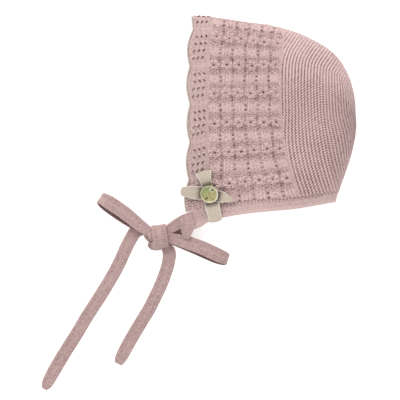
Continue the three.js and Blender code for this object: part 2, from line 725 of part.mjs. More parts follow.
// The picot edging: a cord sewn against the scalloped edge
function laceEdging(lace) {
  const normals = gridNormals(lace);
  const radius = EDGING_WIDTH / 2;
  const rings = lace[0].map((edge, j) => {
    const out = edge.clone().sub(lace[1][j]).normalize();
    const normal = normals[0][j];
    const centre = edge
      .clone()
      .addScaledVector(out, radius + SEAM_GAP)
      .addScaledVector(normal, -LACE_WALL / 2);
    const ring = [];
    for (let n = 0; n < EDGING_SIDES; n += 1) {
      const turn = (2 * Math.PI * (n + 0.5)) / EDGING_SIDES;
      ring.push(
        centre
          .clone()
          .addScaledVector(out, -radius * Math.cos(turn))
          .addScaledVector(normal, radius * Math.sin(turn)),
      );
    }
    return ring;
  });
  return sectionSolid(rings);
}

// The neck band: a strip from one front end, round the nape, to the other
function bandGrid() {
  const grid = [];
  for (let i = 0; i <= BAND_ROWS; i += 1) {
    const share = i / BAND_ROWS;
    const plan = (x) => [x, mix(bandTopY(x) - SEAM_GAP / 2, bandLowY(x), share)];
    const back = meetFold(plan, BONNET_DEPTH / 2, BONNET_DEPTH);
    const shares = [];
    for (let k = 0; k <= BAND_HALF_STEPS; k += 1) shares.push((k / BAND_HALF_STEPS) ** BAND_CROWDING);
    grid.push(wholeRow((t) => plan(mix(back, BAND_START, t)), () => shares));
  }
  return grid;
}

// Stations of a strap, read from its table at even steps
function stationsOf(table, steps) {
  const rows = table.map((row, index) => ({ index, ...row }));
  const stations = [];
  for (let k = 0; k <= steps; k += 1) {
    const at = ((rows.length - 1) * k) / steps;
    const station = {};
    for (const column of Object.keys(table[0])) station[column] = readTable(rows, "index", column, at);
    stations.push(station);
  }
  return stations;
}

// A flat strap with rounded edges through stations of centre, across direction and width; where
// square is 1 its section is parallel to the front ends of the neck band
const BAND_FACING = new THREE.Vector3(-1, 0, 0);
function strapSolid(stations, thickness, grow) {
  const rings = stations.map(({ centre, across, width, square = 0 }, k) => {
    const before = stations[Math.max(k - 1, 0)].centre;
    const after = stations[Math.min(k + 1, stations.length - 1)].centre;
    const tangent = after.clone().sub(before).normalize().lerp(BAND_FACING, square).normalize();
    const side = across.clone().addScaledVector(tangent, -across.dot(tangent)).normalize();
    const face = side.clone().cross(tangent);
    return STRAP_SECTION.map(({ out, up }) =>
      centre
        .clone()
        .addScaledVector(side, out * (width / 2 + grow))
        .addScaledVector(face, up * (thickness / 2 + grow)),
    );
  });
  return sectionSolid(rings);
}

const KNOT = new THREE.Vector2(-KNOT_AHEAD, -KNOT_BELOW);

// A free end on the surface, from the knot along its heading
function tailStations(table, reach, heading) {
  const ahead = new THREE.Vector2(Math.cos(radians(heading)), Math.sin(radians(heading)));
  const stations = stationsOf(table, Math.round(table.length * TAIL_STATIONS)).map((row) => {
    const x = KNOT.x + ahead.x * row.along * reach - ahead.y * row.side * TIE_WIDTH;
    const y = KNOT.y + ahead.y * row.along * reach + ahead.x * row.side * TIE_WIDTH;
    const centre = new THREE.Vector3(x, y, row.lift * TIE_THICKNESS);
    return { centre, width: row.width * TIE_WIDTH };
  });
  return stations.map((station, k) => {
    const before = stations[Math.max(k - 1, 0)].centre;
    const after = stations[Math.min(k + 1, stations.length - 1)].centre;
    return { ...station, across: UP.clone().cross(after.clone().sub(before)).normalize() };
  });
}

// A loop of the bow, out on one layer and back on the other
function loopStations(table, reach, heading) {
  const ahead = new THREE.Vector3(Math.cos(radians(heading)), Math.sin(radians(heading)), 0);
  const side = UP.clone().cross(ahead);
  return stationsOf(table, Math.round(table.length * LOOP_STATIONS)).map((row) => ({
    centre: new THREE.Vector3(KNOT.x, KNOT.y, row.lift * LOOP_HEIGHT)
      .addScaledVector(ahead, row.along * reach)
      .addScaledVector(side, row.side * TIE_WIDTH),
    across: side.clone().applyAxisAngle(ahead, radians(row.lean)),
    width: row.width * TIE_WIDTH,
  }));
}

// A tie from its end of the neck band to the knot
function leadStations(table, bandEnd, knotLevel) {
  const top = bandEnd[0].point;
  const low = bandEnd.at(-1).point;
  const start = top.clone().add(low).multiplyScalar(0.5);
  start.x = Math.min(...bandEnd.map(({ point, inner }) => Math.min(point.x, inner.x))) - SEAM_GAP;
  start.z = Math.max(start.z - BAND_WALL / 2, TIE_THICKNESS / 2);
  const finish = new THREE.Vector3(KNOT.x, KNOT.y, knotLevel);
  const way = finish.clone().sub(start);
  const side = UP.clone().cross(way).normalize();
  const upAtBand = top.clone().sub(low).normalize();
  const squareOver = 0.5; // the share of the way over which the strap turns from the band's end
  const levelOver = 1 / 3; // and the share by which it lies level
  return stationsOf(table, Math.round(table.length * LEAD_STATIONS)).map((row) => {
    const centre = new THREE.Vector3(
      start.x + way.x * row.along,
      start.y + way.y * row.along,
      mix(start.z, finish.z, row.settle),
    ).addScaledVector(side, -row.side * TIE_WIDTH);
    const across = upAtBand.clone().lerp(side.clone().negate(), Math.min(row.along / levelOver, 1));
    const square = 1 - smooth(row.along / squareOver);
    return { centre, across, width: row.width * TIE_WIDTH, square };
  });
}

// The fold of the near tie that hangs over the bow
function foldStations(bandEnd) {
  const start = bandEnd[0].point.clone().lerp(bandEnd.at(-1).point, 0.3);
  return stationsOf(TIE_FOLD, TIE_FOLD.length + 1).map((row) => ({
    centre: new THREE.Vector3(
      start.x - row.ahead * TIE_WIDTH,
      start.y - row.down * TIE_WIDTH,
      row.lift * LOOP_HEIGHT,
    ),
    across: new THREE.Vector3(1, 0, 0),
    width: row.width * TIE_WIDTH,
  }));
}

// The lumps of the knot, each an egg that rests on the surface
function knotLumps(grow) {
  return KNOT_LUMPS.map((lump) => {
    const egg = new THREE.SphereGeometry(0.5, LUMP_SIDES, LUMP_SIDES / 2 + 2);
    const height = lump.height * KNOT_HEIGHT;
    egg.scale(
      lump.width * KNOT_WIDTH + 2 * grow,
      lump.length * KNOT_LENGTH + 2 * grow,
      height + 2 * grow,
    );
    egg.rotateZ(radians(lump.turn));
    egg.translate(
      KNOT.x + lump.across * KNOT_WIDTH,
      KNOT.y + lump.along * KNOT_LENGTH,
      height / 2,
    );
    return egg;
  });
}

// Joining and cutting
function manifoldOf(geometry) {
  const bare = geometry.clone();
  bare.deleteAttribute("normal");
  bare.deleteAttribute("uv");
  const merged = mergeVertices(bare, 1e-4);
  return new wasm.Manifold(
    new wasm.Mesh({
      numProp: 3,
      vertProperties: merged.getAttribute("position").array,
      triVerts: new Uint32Array(merged.index.array),
    }),
  );
}
function geometryOf(manifold) {
  const mesh = manifold.getMesh();
  const geometry = new THREE.BufferGeometry();
  geometry.setAttribute("position", new THREE.BufferAttribute(mesh.vertProperties, 3));
  geometry.setIndex(new THREE.BufferAttribute(mesh.triVerts, 1));
  return geometry;
}
const largest = (manifold) =>
  manifold.decompose().reduce((a, b) => (b.volume() > a.volume() ? b : a));
const cleaned = (manifold) => largest(manifold.asOriginal().simplify(SLIVER));
const joined = (geometries) => geometries.map(manifoldOf).reduce((a, b) => a.add(b));
const carved = (manifold, cutters) => cleaned(cutters.reduce((a, b) => a.subtract(b), manifold));

// The ribbon lies on the upper half
const BUTTON_X = faceX(BUTTON_UP) + BUTTON_BACK;
const ribbonBase = (x, y) => upperHeight(x, y) + STAR_RELIEF + RIBBON_SEAT;

// One lobe: the ribbon goes out on the surface and comes back over itself
function ribbonLobe(lobe) {
  const ahead = new THREE.Vector2(Math.cos(radians(lobe.heading)), Math.sin(radians(lobe.heading)));
  const length = lobe.length * RIBBON_WIDTH;
  const rings = [];
  const steps = RIBBON_STEPS;
  for (let k = 0; k <= 2 * steps; k += 1) {
    const upper = k > steps;
    const share = 1 - Math.abs(1 - k / steps);
    const along = length * Math.sin((share * Math.PI) / 2);
    const widest = share < 0.5 ? mix(lobe.root, lobe.middle, smooth(share * 2)) : 0;
    const width = share < 0.5 ? widest : mix(lobe.middle, lobe.end, smooth(share * 2 - 1));
    const beyond = Math.max(along - BUTTON_DIAMETER / 2, 0) / (length - BUTTON_DIAMETER / 2);
    const open = RIBBON_LIFT * Math.sin(Math.PI * beyond);
    const lift = RIBBON_THICKNESS * (upper ? RIBBON_UPPER : RIBBON_LOWER) + (upper ? open : 0);
    const turnLevel = (RIBBON_THICKNESS * (RIBBON_UPPER + RIBBON_LOWER)) / 2;
    const level = share === 1 ? turnLevel : lift;
    const half = (width * RIBBON_WIDTH) / 2;
    const corner = (out, up) => {
      const x = BUTTON_X + ahead.x * along - ahead.y * out * half;
      const y = BUTTON_UP + ahead.y * along + ahead.x * out * half;
      const turned = share === 1 ? 0 : up;
      const past = share === 1 ? (-up * RIBBON_THICKNESS) / 2 : 0;
      return new THREE.Vector3(
        x + ahead.x * past,
        y + ahead.y * past,
        ribbonBase(x, y) + level + (turned * RIBBON_THICKNESS) / 2,
      );
    };
    const face = upper ? -1 : 1;
    rings.push([corner(1, face), corner(-1, face), corner(-1, -face), corner(1, -face)]);
  }
  return sectionSolid(rings);
}

function ribbonBow(tilt) {
  const middle = new THREE.CylinderGeometry(
    RIBBON_MIDDLE / 2,
    RIBBON_MIDDLE / 2,
    RIBBON_THICKNESS * RIBBON_STACK,
    MIDDLE_SIDES,
  );
  middle.rotateX(Math.PI / 2);
  middle.applyQuaternion(tilt);
  middle.translate(
    BUTTON_X,
    BUTTON_UP,
    ribbonBase(BUTTON_X, BUTTON_UP) + (RIBBON_THICKNESS * RIBBON_STACK) / 2,
  );
  return geometryOf(joined([...RIBBON_LOBES.map(ribbonLobe), middle]));
}

// The button: a dished disc with a raised rim and two holes
function buttonSolid() {
  const radius = BUTTON_DIAMETER / 2;
  const profile = [
    [0, 0],
    [radius - BUTTON_EDGE, 0],
    [radius, BUTTON_THICKNESS * 0.35],
    [radius, BUTTON_THICKNESS * 0.75],
    [radius - BUTTON_RIM * 0.6, BUTTON_THICKNESS],
    [radius - BUTTON_RIM * 1.4, BUTTON_THICKNESS],
    [radius - BUTTON_RIM * 2.4, BUTTON_THICKNESS * 0.72],
    [0, BUTTON_THICKNESS * 0.6],
  ].map(([r, z]) => new THREE.Vector2(r, z));
  const disc = new THREE.LatheGeometry(profile, BUTTON_SIDES);
  disc.rotateX(Math.PI / 2);
  const holes = holePlaces().map(([x, y]) => {
    const hole = new THREE.CylinderGeometry(
      BUTTON_HOLE / 2,
      BUTTON_HOLE / 2,
      BUTTON_THICKNESS * 3,
      HOLE_SIDES,
    );
    hole.rotateX(Math.PI / 2);
    hole.translate(x, y, 0);
    return manifoldOf(hole);
  });
  return geometryOf(carved(manifoldOf(disc), holes));
}
function holePlaces() {
  const reach = BUTTON_HOLE_SPACING / 2;
  const turn = radians(BUTTON_HOLE_ANGLE);
  return [1, -1].map((way) => [way * reach * Math.cos(turn), way * reach * Math.sin(turn)]);
}

// The thread: a bar between ribbon and button, with an end up into each hole
function buttonThread() {
  const bar = new THREE.BoxGeometry(BUTTON_HOLE_SPACING, THREAD_DIAMETER, THREAD_DIAMETER);
  bar.rotateZ(radians(BUTTON_HOLE_ANGLE));
  bar.translate(0, 0, -SEAT_GAP - THREAD_DIAMETER / 2);
  const posts = holePlaces().map(([x, y]) => {
    const length = THREAD_DIAMETER + SEAT_GAP + BUTTON_THICKNESS * 0.4;
    const post = new THREE.CylinderGeometry(THREAD_DIAMETER / 2, THREAD_DIAMETER / 2, length, THREAD_SIDES);
    post.rotateX(Math.PI / 2);
    post.translate(x, y, length / 2 - SEAT_GAP - THREAD_DIAMETER);
    return post;
  });
  return geometryOf(cleaned(joined([bar, ...posts])));
}

// Button and thread tilt with the cloth, just clear of the ribbon's highest point under them
function seatOnRibbon() {
  const step = 1;
  const places = 24; // round the button's rim
  const slopeX = (upperHeight(BUTTON_X + step, BUTTON_UP) - upperHeight(BUTTON_X - step, BUTTON_UP)) / 2;
  const slopeY = (upperHeight(BUTTON_X, BUTTON_UP + step) - upperHeight(BUTTON_X, BUTTON_UP - step)) / 2;
  const normal = new THREE.Vector3(-slopeX, -slopeY, step).normalize();
  let highest = -Infinity;
  for (let k = 0; k < places; k += 1) {
    const turn = (2 * Math.PI * k) / places;
    const x = (Math.cos(turn) * BUTTON_DIAMETER) / 2;
    const y = (Math.sin(turn) * BUTTON_DIAMETER) / 2;
    highest = Math.max(highest, ribbonBase(BUTTON_X + x, BUTTON_UP + y) - slopeX * x - slopeY * y);
  }
  highest = Math.max(highest, ribbonBase(BUTTON_X, BUTTON_UP));
  const level = highest + RIBBON_THICKNESS * RIBBON_STACK + SEAT_GAP * 2 + THREAD_DIAMETER;
  const seat = new THREE.Group();
  seat.position.set(BUTTON_X, BUTTON_UP, level);
  seat.quaternion.setFromUnitVectors(UP, normal);
  return seat;
}

// Colours and finish
const FINISH = {
  rose: { color: 0xc4a4a0, roughness: 0.95, metalness: 0 },
  rose_tie: { color: 0xbc9c98, roughness: 0.95, metalness: 0 },
  picot: { color: 0xd9c6ae, roughness: 0.9, metalness: 0 },
  ribbon: { color: 0xc3b6a3, roughness: 0.9, metalness: 0 },
  shell: { color: 0xa69c6c, roughness: 0.25, metalness: 0 },
  thread: { color: 0x6b5f4a, roughness: 0.9, metalness: 0 },
};

const lace = laceGrid();
const band = bandGrid();
const bandNormals = gridNormals(band);
const bandEnd = (j) =>
  band.map((row, i) => {
    const point = row.at(j);
    return { point, inner: point.clone().addScaledVector(bandNormals[i].at(j), -BAND_WALL) };
  });
const knot = (grow) => cleaned(joined(knotLumps(grow)));
const straps = {
  bow_loop_left: [loopStations(LEFT_LOOP, LEFT_LOOP_REACH, LEFT_LOOP_HEADING)],
  bow_loop_right: [loopStations(RIGHT_LOOP, RIGHT_LOOP_REACH, RIGHT_LOOP_HEADING)],
  tie_tail_left: [tailStations(LEFT_TAIL, LEFT_TAIL_REACH, LEFT_TAIL_HEADING)],
  tie_tail_right: [tailStations(RIGHT_TAIL, RIGHT_TAIL_REACH, RIGHT_TAIL_HEADING)],
  tie_lead_near: [
    leadStations(NEAR_LEAD, bandEnd(0), KNOT_HEIGHT * 0.55),
    foldStations(bandEnd(0)),
  ],
  tie_lead_far: [leadStations(FAR_LEAD, bandEnd(-1), TIE_THICKNESS / 2)],
};

const bonnet = new THREE.Group();
function addPiece(parent, name, geometry, finish) {
  const mesh = new THREE.Mesh(geometry, new THREE.MeshStandardMaterial(FINISH[finish]));
  mesh.name = name;
  parent.add(mesh);
}
addPiece(bonnet, "front_panel", frontPanel(), "rose");
addPiece(bonnet, "back_panel", backPanel(), "rose");
addPiece(bonnet, "neck_band", clothSolid(band, BAND_WALL, () => 0), "rose");
addPiece(bonnet, "lace_border", piercedSolid(lace.grid, LACE_WALL, lace.isOpen), "rose");
addPiece(bonnet, "lace_edging", laceEdging(lace.grid), "picot");
addPiece(bonnet, "bow_knot", geometryOf(knot(0)), "rose_tie");

// Each strap is cut clear of the knot and of the straps laid before it
const laid = [knot(SEAT_GAP)];
for (const [name, runs] of Object.entries(straps)) {
  const whole = (grow) => joined(runs.map((run) => strapSolid(run, TIE_THICKNESS, grow)));
  addPiece(bonnet, name, geometryOf(carved(whole(0), laid)), "rose_tie");
  laid.push(whole(SEAT_GAP));
}

const seat = seatOnRibbon();
addPiece(bonnet, "ribbon_bow", ribbonBow(seat.quaternion), "ribbon");
addPiece(seat, "button", buttonSolid(), "shell");
addPiece(seat, "button_thread", buttonThread(), "thread");
bonnet.add(seat);

// The origin is under the middle of the whole, on the surface that it lies on
const box = new THREE.Box3().setFromObject(bonnet);
const middle = box.getCenter(new THREE.Vector3());
bonnet.position.set(-middle.x, -middle.y, -box.min.z);

export default bonnet;
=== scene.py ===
# %% [markdown]
# # A knitted baby bonnet, folded flat on its side
# The bonnet lies on a table as it does in a shop's picture: one half on top of the other, the ties
# in a bow at the front corner, and a small ribbon with a button on the cheek. Every cloth here is a
# surface in space with stitches pressed into it as real height, so it keeps its knit from all sides.

# %% The frame that everything is fitted to
import math
import bpy
import numpy as np
from mathutils import Matrix, Vector


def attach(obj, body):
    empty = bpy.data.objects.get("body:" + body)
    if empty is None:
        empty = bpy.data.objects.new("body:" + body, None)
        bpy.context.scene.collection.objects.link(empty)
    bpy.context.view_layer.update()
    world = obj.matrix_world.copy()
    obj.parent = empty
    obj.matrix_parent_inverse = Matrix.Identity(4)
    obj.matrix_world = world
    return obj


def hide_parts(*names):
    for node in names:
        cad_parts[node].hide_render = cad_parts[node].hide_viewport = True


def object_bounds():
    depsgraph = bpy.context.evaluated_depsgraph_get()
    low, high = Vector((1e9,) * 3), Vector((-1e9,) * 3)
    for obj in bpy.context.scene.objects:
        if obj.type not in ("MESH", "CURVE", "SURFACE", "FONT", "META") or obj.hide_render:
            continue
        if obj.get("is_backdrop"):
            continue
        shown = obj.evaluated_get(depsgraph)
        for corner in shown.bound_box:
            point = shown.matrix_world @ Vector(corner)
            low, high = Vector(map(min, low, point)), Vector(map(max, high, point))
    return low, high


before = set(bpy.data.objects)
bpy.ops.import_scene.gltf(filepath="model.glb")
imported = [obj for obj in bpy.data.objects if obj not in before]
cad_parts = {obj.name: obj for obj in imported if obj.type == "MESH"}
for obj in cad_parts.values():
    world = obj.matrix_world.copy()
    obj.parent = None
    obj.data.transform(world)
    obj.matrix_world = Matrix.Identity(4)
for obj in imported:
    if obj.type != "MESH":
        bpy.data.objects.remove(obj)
cad_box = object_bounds()

# %% [markdown]
# The measures are the same as in the part's source, in millimetres: local x runs back from the face
# edge, local y up from the neck edge, z off the table. They are repeated here because the script
# reads nothing but the frame, and written as named values so that a change is made in one place.

# %% Measures in millimetres
DEPTH, HEIGHT = 133.6, 163.2
FOLD_LEVEL, FACE_LOFT, CROWN_LOFT = 13, 13, 21
NECK_DROP, CORNER_DROP, CORNER_REACH = 5, 11, 42
UPPER_ROUND, LOWER_ROUND = 46, 20
FRONT_WALL, BACK_WALL, BAND_WALL, LACE_WALL = 2.6, 2.8, 2.4, 1.8
JOIN_GAP = 0.06
STAR_PITCH, STAR_WIDTH, STAR_RELIEF = 22.2, 9.9, 0.8
GARTER_PITCH, GARTER_RELIEF = 2.5, 0.7
LACE_WIDTH, SCALLOP_PITCH, SCALLOP_DEPTH = 14.8, 30, 2.6
BAND_WIDTH, BAND_START = 9.6, 3.2
TIE_WIDTH, TIE_THICKNESS, LOOP_HEIGHT = 10.5, 2.6, 11
KNOT = np.array([-24.4, -13.4])
KNOT_WIDTH, KNOT_LENGTH, KNOT_HEIGHT = 12.4, 18.4, 13.4
BUTTON_BACK, BUTTON_UP, BUTTON_DIAMETER = 17.4, 20.9, 14.4
RIBBON_THICKNESS, RIBBON_WIDTH = 0.8, 10
PLACE = np.array([-8.2, -13.9, 0.0])

# %% [markdown]
# Drawn shapes are easiest to keep as short tables with a smooth curve read through them. This
# one reader serves every outline, seam and tie, and it takes a whole array of places at once, which
# is what makes a mesh of a hundred thousand stitches quick in Python.

# %% Reading a table as a smooth curve
def read_table(rows, at, column=1):
    keys = np.array([row[0] for row in rows], float)
    values = np.array([row[column] for row in rows], float)
    number = np.arange(len(keys))
    before = np.maximum(number - 1, 0)
    after = np.minimum(number + 1, len(keys) - 1)
    slopes = (values[after] - values[before]) / (keys[after] - keys[before])
    at = np.asarray(at, float)
    k = np.clip(np.searchsorted(keys, at) - 1, 0, len(keys) - 2)
    span = keys[k + 1] - keys[k]
    t = (at - keys[k]) / span
    rise = slopes[k] * span * (t**3 - 2 * t**2 + t) + slopes[k + 1] * span * (t**3 - t**2)
    curve = values[k] * (2 * t**3 - 3 * t**2 + 1) + values[k + 1] * (3 * t**2 - 2 * t**3) + rise
    below = values[k] + slopes[k] * (at - keys[k])
    above = values[k + 1] + slopes[k + 1] * (at - keys[k + 1])
    return np.where(t <= 0, below, np.where(t >= 1, above, curve))


def smooth(t):
    c = np.clip(t, 0, 1)
    return c * c * (3 - 2 * c)


def mix(a, b, t):
    return a + (b - a) * t


def bell(distance, width):
    return np.exp(-((distance / width) ** 2))


def wave(turns):
    return np.cos(2 * np.pi * turns)


def unit(vectors):
    return vectors / np.maximum(np.linalg.norm(vectors, axis=-1, keepdims=True), 1e-9)


def length_so_far(points):
    """The length along a line of points, from its start to each of them."""
    steps = np.linalg.norm(np.diff(points, axis=-2), axis=-1)
    return np.concatenate([np.zeros_like(steps[..., :1]), np.cumsum(steps, -1)], -1)


def edge_between(within, inside, outside):
    """Halves the gap between two places until it stands where within turns false."""
    for _ in range(30):
        middle = (inside + outside) / 2
        held = within(middle)
        inside = np.where(held, middle, inside)
        outside = np.where(held, outside, middle)
    return (inside + outside) / 2


def tangle(a, b):
    """The uneven loops where the knitting is coarse, with both places in millimetres."""
    return np.sin(2.9 * a) * np.sin(2.6 * b + 1.7 * np.sin(1.3 * a)) - 0.1


print("halfway up a smooth step:", smooth(0.5), "one width off a bell:", round(float(bell(1, 1)), 2))

# %% [markdown]
# The fold line is the outline of the bonnet lying on its side: along the top, round the crown and
# down to the nape. It could be drawn as a curve object. A table of shares does the same, and can also
# be asked how far any stitch is from the fold, which shapes the cloth's rise and flattens the knit.

# %% The outline and the upright lines
FOLD_LINE = [
    (-0.05, 1.004), (0.126, 0.995), (0.341, 0.971), (0.485, 0.954), (0.629, 0.922),
    (0.737, 0.884), (0.844, 0.83), (0.916, 0.765), (0.97, 0.67), (0.998, 0.53),
    (0.994, 0.42), (0.964, 0.305), (0.898, 0.147), (0.868, 0.075), (0.84, 0),
]
UPRIGHTS = [  # height, face edge, lace width, seam
    (-0.05, -0.014, 1.2, 0.72), (0.074, -0.012, 1.15, 0.68), (0.147, -0.006, 1.05, 0.647),
    (0.294, 0, 1, 0.593), (0.441, 0.004, 0.98, 0.563), (0.588, 0.003, 1, 0.551),
    (0.735, 0.002, 1, 0.551), (0.833, 0.006, 1, 0.561), (0.931, 0.022, 1, 0.581),
    (1.03, 0.04, 1, 0.605),
]
NECK_LINE = [  # depth, upper edge, width
    (-0.02, 0.04, 1.5), (0.054, 0.05, 1.5), (0.102, 0.06, 1.25), (0.162, 0.071, 1.12),
    (0.329, 0.093, 1.08), (0.479, 0.103, 1.02), (0.635, 0.11, 0.94), (0.844, 0.137, 0.9),
    (0.964, 0.155, 0.9),
]
MITRE = [(0, 0.78, 0.25), (0.5, 0.76, 0.7), (0.8, 0.7, 1.1), (1, 0.6, 1.5)]  # back, height, lean


def fold_polyline(steps=96):
    corners = np.array(FOLD_LINE) * [DEPTH, HEIGHT]
    runs = length_so_far(corners)
    at = np.linspace(0, runs[-1], steps + 1)
    rows = [(run, *corner) for run, corner in zip(runs, corners)]
    return np.stack([read_table(rows, at, 1), read_table(rows, at, 2)], 1)


FOLD = fold_polyline()


def fold_distance(x, y):
    best = np.full(np.shape(x), np.inf)
    sign = np.ones(np.shape(x))
    for a, b in zip(FOLD[:-1], FOLD[1:]):
        e = b - a
        t = np.clip(((x - a[0]) * e[0] + (y - a[1]) * e[1]) / (e @ e), 0, 1)
        dx = x - a[0] - e[0] * t
        dy = y - a[1] - e[1] * t
        d = dx * dx + dy * dy
        nearer = d < best
        sign = np.where(nearer, np.where(e[0] * dy - e[1] * dx > 0, -1, 1), sign)
        best = np.where(nearer, d, best)
    return sign * np.sqrt(best)


print("outline from", FOLD.min(0).round(1), "to", FOLD.max(0).round(1), "mm")

# %% [markdown]
# Two surfaces make the bonnet: the upper half rises from the fold in a quarter round and is loose
# over the hollow, and the lower half comes down from the same fold and lies flat on the table. The
# front corner is pulled down by the bow. A cloth simulation could find such a fold, but it would have
# to be steered back to the outline that is known, so the two heights are written as formulas.

# %% Heights of the two halves
def round_over(t):
    return np.where(t >= 1, 1, np.sqrt(np.maximum(t * (2 - t), 0)))


def upper_height(x, y):
    loft = mix(FACE_LOFT, CROWN_LOFT, smooth(x / DEPTH / 0.75))
    neck = NECK_DROP * (1 - smooth(y / HEIGHT / 0.4))
    corner = CORNER_DROP * np.exp(-(x * x + y * y) / CORNER_REACH**2)
    return FOLD_LEVEL + (loft - neck - corner) * round_over(fold_distance(x, y) / UPPER_ROUND)


def lower_height(x, y):
    return FOLD_LEVEL * (1 - round_over(fold_distance(x, y) / LOWER_ROUND))


def face_x(y):
    return read_table(UPRIGHTS, y / HEIGHT, 1) * DEPTH


def lace_x(y):
    return face_x(y) + read_table(UPRIGHTS, y / HEIGHT, 2) * LACE_WIDTH


def seam_x(y):
    return read_table(UPRIGHTS, y / HEIGHT, 3) * DEPTH


def band_top_y(x):
    return read_table(NECK_LINE, x / DEPTH, 1) * HEIGHT


def band_low_y(x):
    return band_top_y(x) - read_table(NECK_LINE, x / DEPTH, 2) * BAND_WIDTH

# %% [markdown]
# Knitting is laid out in rows. Each row here starts on the fold and runs to the open neck edge, once
# over the upper half and once over the lower one, and its points are spaced by true length over the
# surface, as stitches are. Joined end to end, the two make one long row with the fold in its middle.

# %% Rows over both halves
ROW_SAMPLES = 200


def meet_fold(line_x, inside, outside):
    inside = np.array(inside, float)
    outside = np.array(outside, float) + 0 * inside
    return edge_between(lambda y: fold_distance(line_x(y), y) > 0, inside, outside)


def meet_band(line_x, rows):
    y = np.zeros((rows, 1))
    for _ in range(12):
        y = band_top_y(line_x(y))
    return y + JOIN_GAP


def half_rows(plan, height_at, shares):
    t = (1 - np.cos(np.pi * np.linspace(0, 1, ROW_SAMPLES + 1))) / 2
    x, y = plan(t[None, :])
    points = np.stack([x, y, height_at(x, y)], -1)
    runs = length_so_far(points)
    rows = [
        [np.interp(shares * run[-1], run, row[:, axis]) for axis in range(3)]
        for run, row in zip(runs, points)
    ]
    return np.array(rows).transpose(0, 2, 1), runs[:, -1]


def whole_rows(plan, near_shares, far_shares):
    near = half_rows(plan, upper_height, near_shares)[0]
    far = half_rows(plan, lower_height, far_shares)[0]
    return np.concatenate([near[:, ::-1], far[:, 1:]], 1)


def length_over(plan, height_at):
    return half_rows(plan, height_at, np.array([0.0]))[1][0]


def shares_at(length, step):
    return np.linspace(0, 1, int(round(length / step)) + 1)


def upright_plan(from_x, to_x, shares):
    across = np.asarray(shares, float)[:, None]

    def line_x(y):
        return mix(from_x(y), to_x(y), across)

    low = meet_band(line_x, len(across))
    high = meet_fold(line_x, low, HEIGHT * 1.03)

    def plan(t):
        y = mix(high, low, t)
        return line_x(y), y

    return plan

# %% [markdown]
# A mesh helper turns arrays of points and faces into a Blender object. It carries two things along
# with every point: where the point is in the knitting (a UV map in millimetres, so a stitch has the
# same size everywhere) and a painted shade, which the finishes use to darken the colour where shade
# falls between and under the stitches. The ribbon also carries a painted edge highlight.

# %% From arrays to an object
def add_object(name, points, faces, where, painted_shade, pale=None):
    """faces is a list of arrays of corner numbers, each of three or four columns."""
    loops = []
    sizes = []
    for block in faces:
        block = np.asarray(block)
        if block.shape[1] == 4:
            same = (block[:, 2] == block[:, 3]) | (block[:, 1] == block[:, 2])
            first = (block[:, 0] == block[:, 1]) | (block[:, 3] == block[:, 0])
            whole = block[~same & ~first]
            loops.append(whole.ravel())
            sizes.append(np.full(len(whole), 4))
            for part, keep in ((same & ~first, [0, 1, 3]), (first & ~same, [1, 2, 3])):
                small = block[part]
                late = np.where(small[:, 2] == small[:, 3], 1, 0)[:, None]
                small = np.where(late == 1, small[:, [0, 1, 2]], small[:, keep])
                loops.append(small.ravel())
                sizes.append(np.full(len(small), 3))
        else:
            loops.append(block.ravel())
            sizes.append(np.full(len(block), 3))
    loops = np.concatenate(loops)
    sizes = np.concatenate(sizes)
    used, loops = np.unique(loops, return_inverse=True)
    mesh = bpy.data.meshes.new(name)
    mesh.vertices.add(len(used))
    mesh.vertices.foreach_set("co", ((points[used] + PLACE) / 1000).ravel())
    mesh.loops.add(len(loops))
    mesh.loops.foreach_set("vertex_index", loops.astype(np.int32))
    mesh.polygons.add(len(sizes))
    mesh.polygons.foreach_set("loop_start", (np.cumsum(sizes) - sizes).astype(np.int32))
    mesh.update(calc_edges=True)
    mesh.validate()
    mesh.shade_smooth()
    stitches = mesh.uv_layers.new(name="stitches")
    stitches.data.foreach_set("uv", where[used][loops].ravel())
    # The painted shade: how much darker a point is drawn, standing in for the shade between stitches and
    # under layers.
    mesh.attributes.new("painted_shade", "FLOAT", "POINT").data.foreach_set("value", painted_shade[used])
    # pale is a painted highlight, which only the ribbon's edges use; all other points get none.
    pale = np.zeros(len(points)) if pale is None else pale
    mesh.attributes.new("pale", "FLOAT", "POINT").data.foreach_set("value", pale[used])
    piece = bpy.data.objects.new(name, mesh)
    bpy.context.collection.objects.link(piece)
    print(f"{name}: {len(used)} points, {(sizes - 2).sum()} triangles")
    return piece


def normals_of(grid):
    return unit(np.cross(np.gradient(grid, axis=0), np.gradient(grid, axis=1)))


def grid_faces(index):
    return np.stack([index[:-1, :-1], index[1:, :-1], index[1:, 1:], index[:-1, 1:]], -1).reshape(-1, 4)


def tube_faces(rings, count):
    """A tube of rings, closed by fans onto two tips whose points come last."""
    index = np.arange(rings * count).reshape(rings, count)
    index = np.concatenate([index, index[:, :1]], 1)
    tip = np.full(count, rings * count)
    first_fan = np.stack([tip, index[0, 1:], index[0, :-1]], 1)
    last_fan = np.stack([tip + 1, index[-1, :-1], index[-1, 1:]], 1)
    return [grid_faces(index), first_fan, last_fan]


def globe_faces(shape):
    """A grid whose last column meets its first, and whose end rows are single points."""
    index = np.arange(shape[0] * shape[1]).reshape(shape)
    index[:, -1] = index[:, 0]
    index[0, :] = index[0, 0]
    index[-1, :] = index[-1, 0]
    return grid_faces(index)[:, ::-1]


def facing_out(faces, base, normals):
    facing = np.cross(base[1, 0] - base[0, 0], base[0, 1] - base[0, 0]) @ normals[0, 0]
    return faces if facing >= 0 else [block[:, ::-1] for block in faces]


def rim_faces(outer, outer_at, inner, inner_at):
    """Triangles between two edges, given the places of their points along the edge."""
    faces = []
    a = b = 0
    while a < len(outer) - 1 or b < len(inner) - 1:
        last = b == len(inner) - 1
        if last or (a < len(outer) - 1 and outer_at[a + 1] <= inner_at[b + 1]):
            faces.append((outer[a], outer[a + 1], inner[b]))
            a += 1
        else:
            faces.append((outer[a], inner[b + 1], inner[b]))
            b += 1
    return np.array(faces)
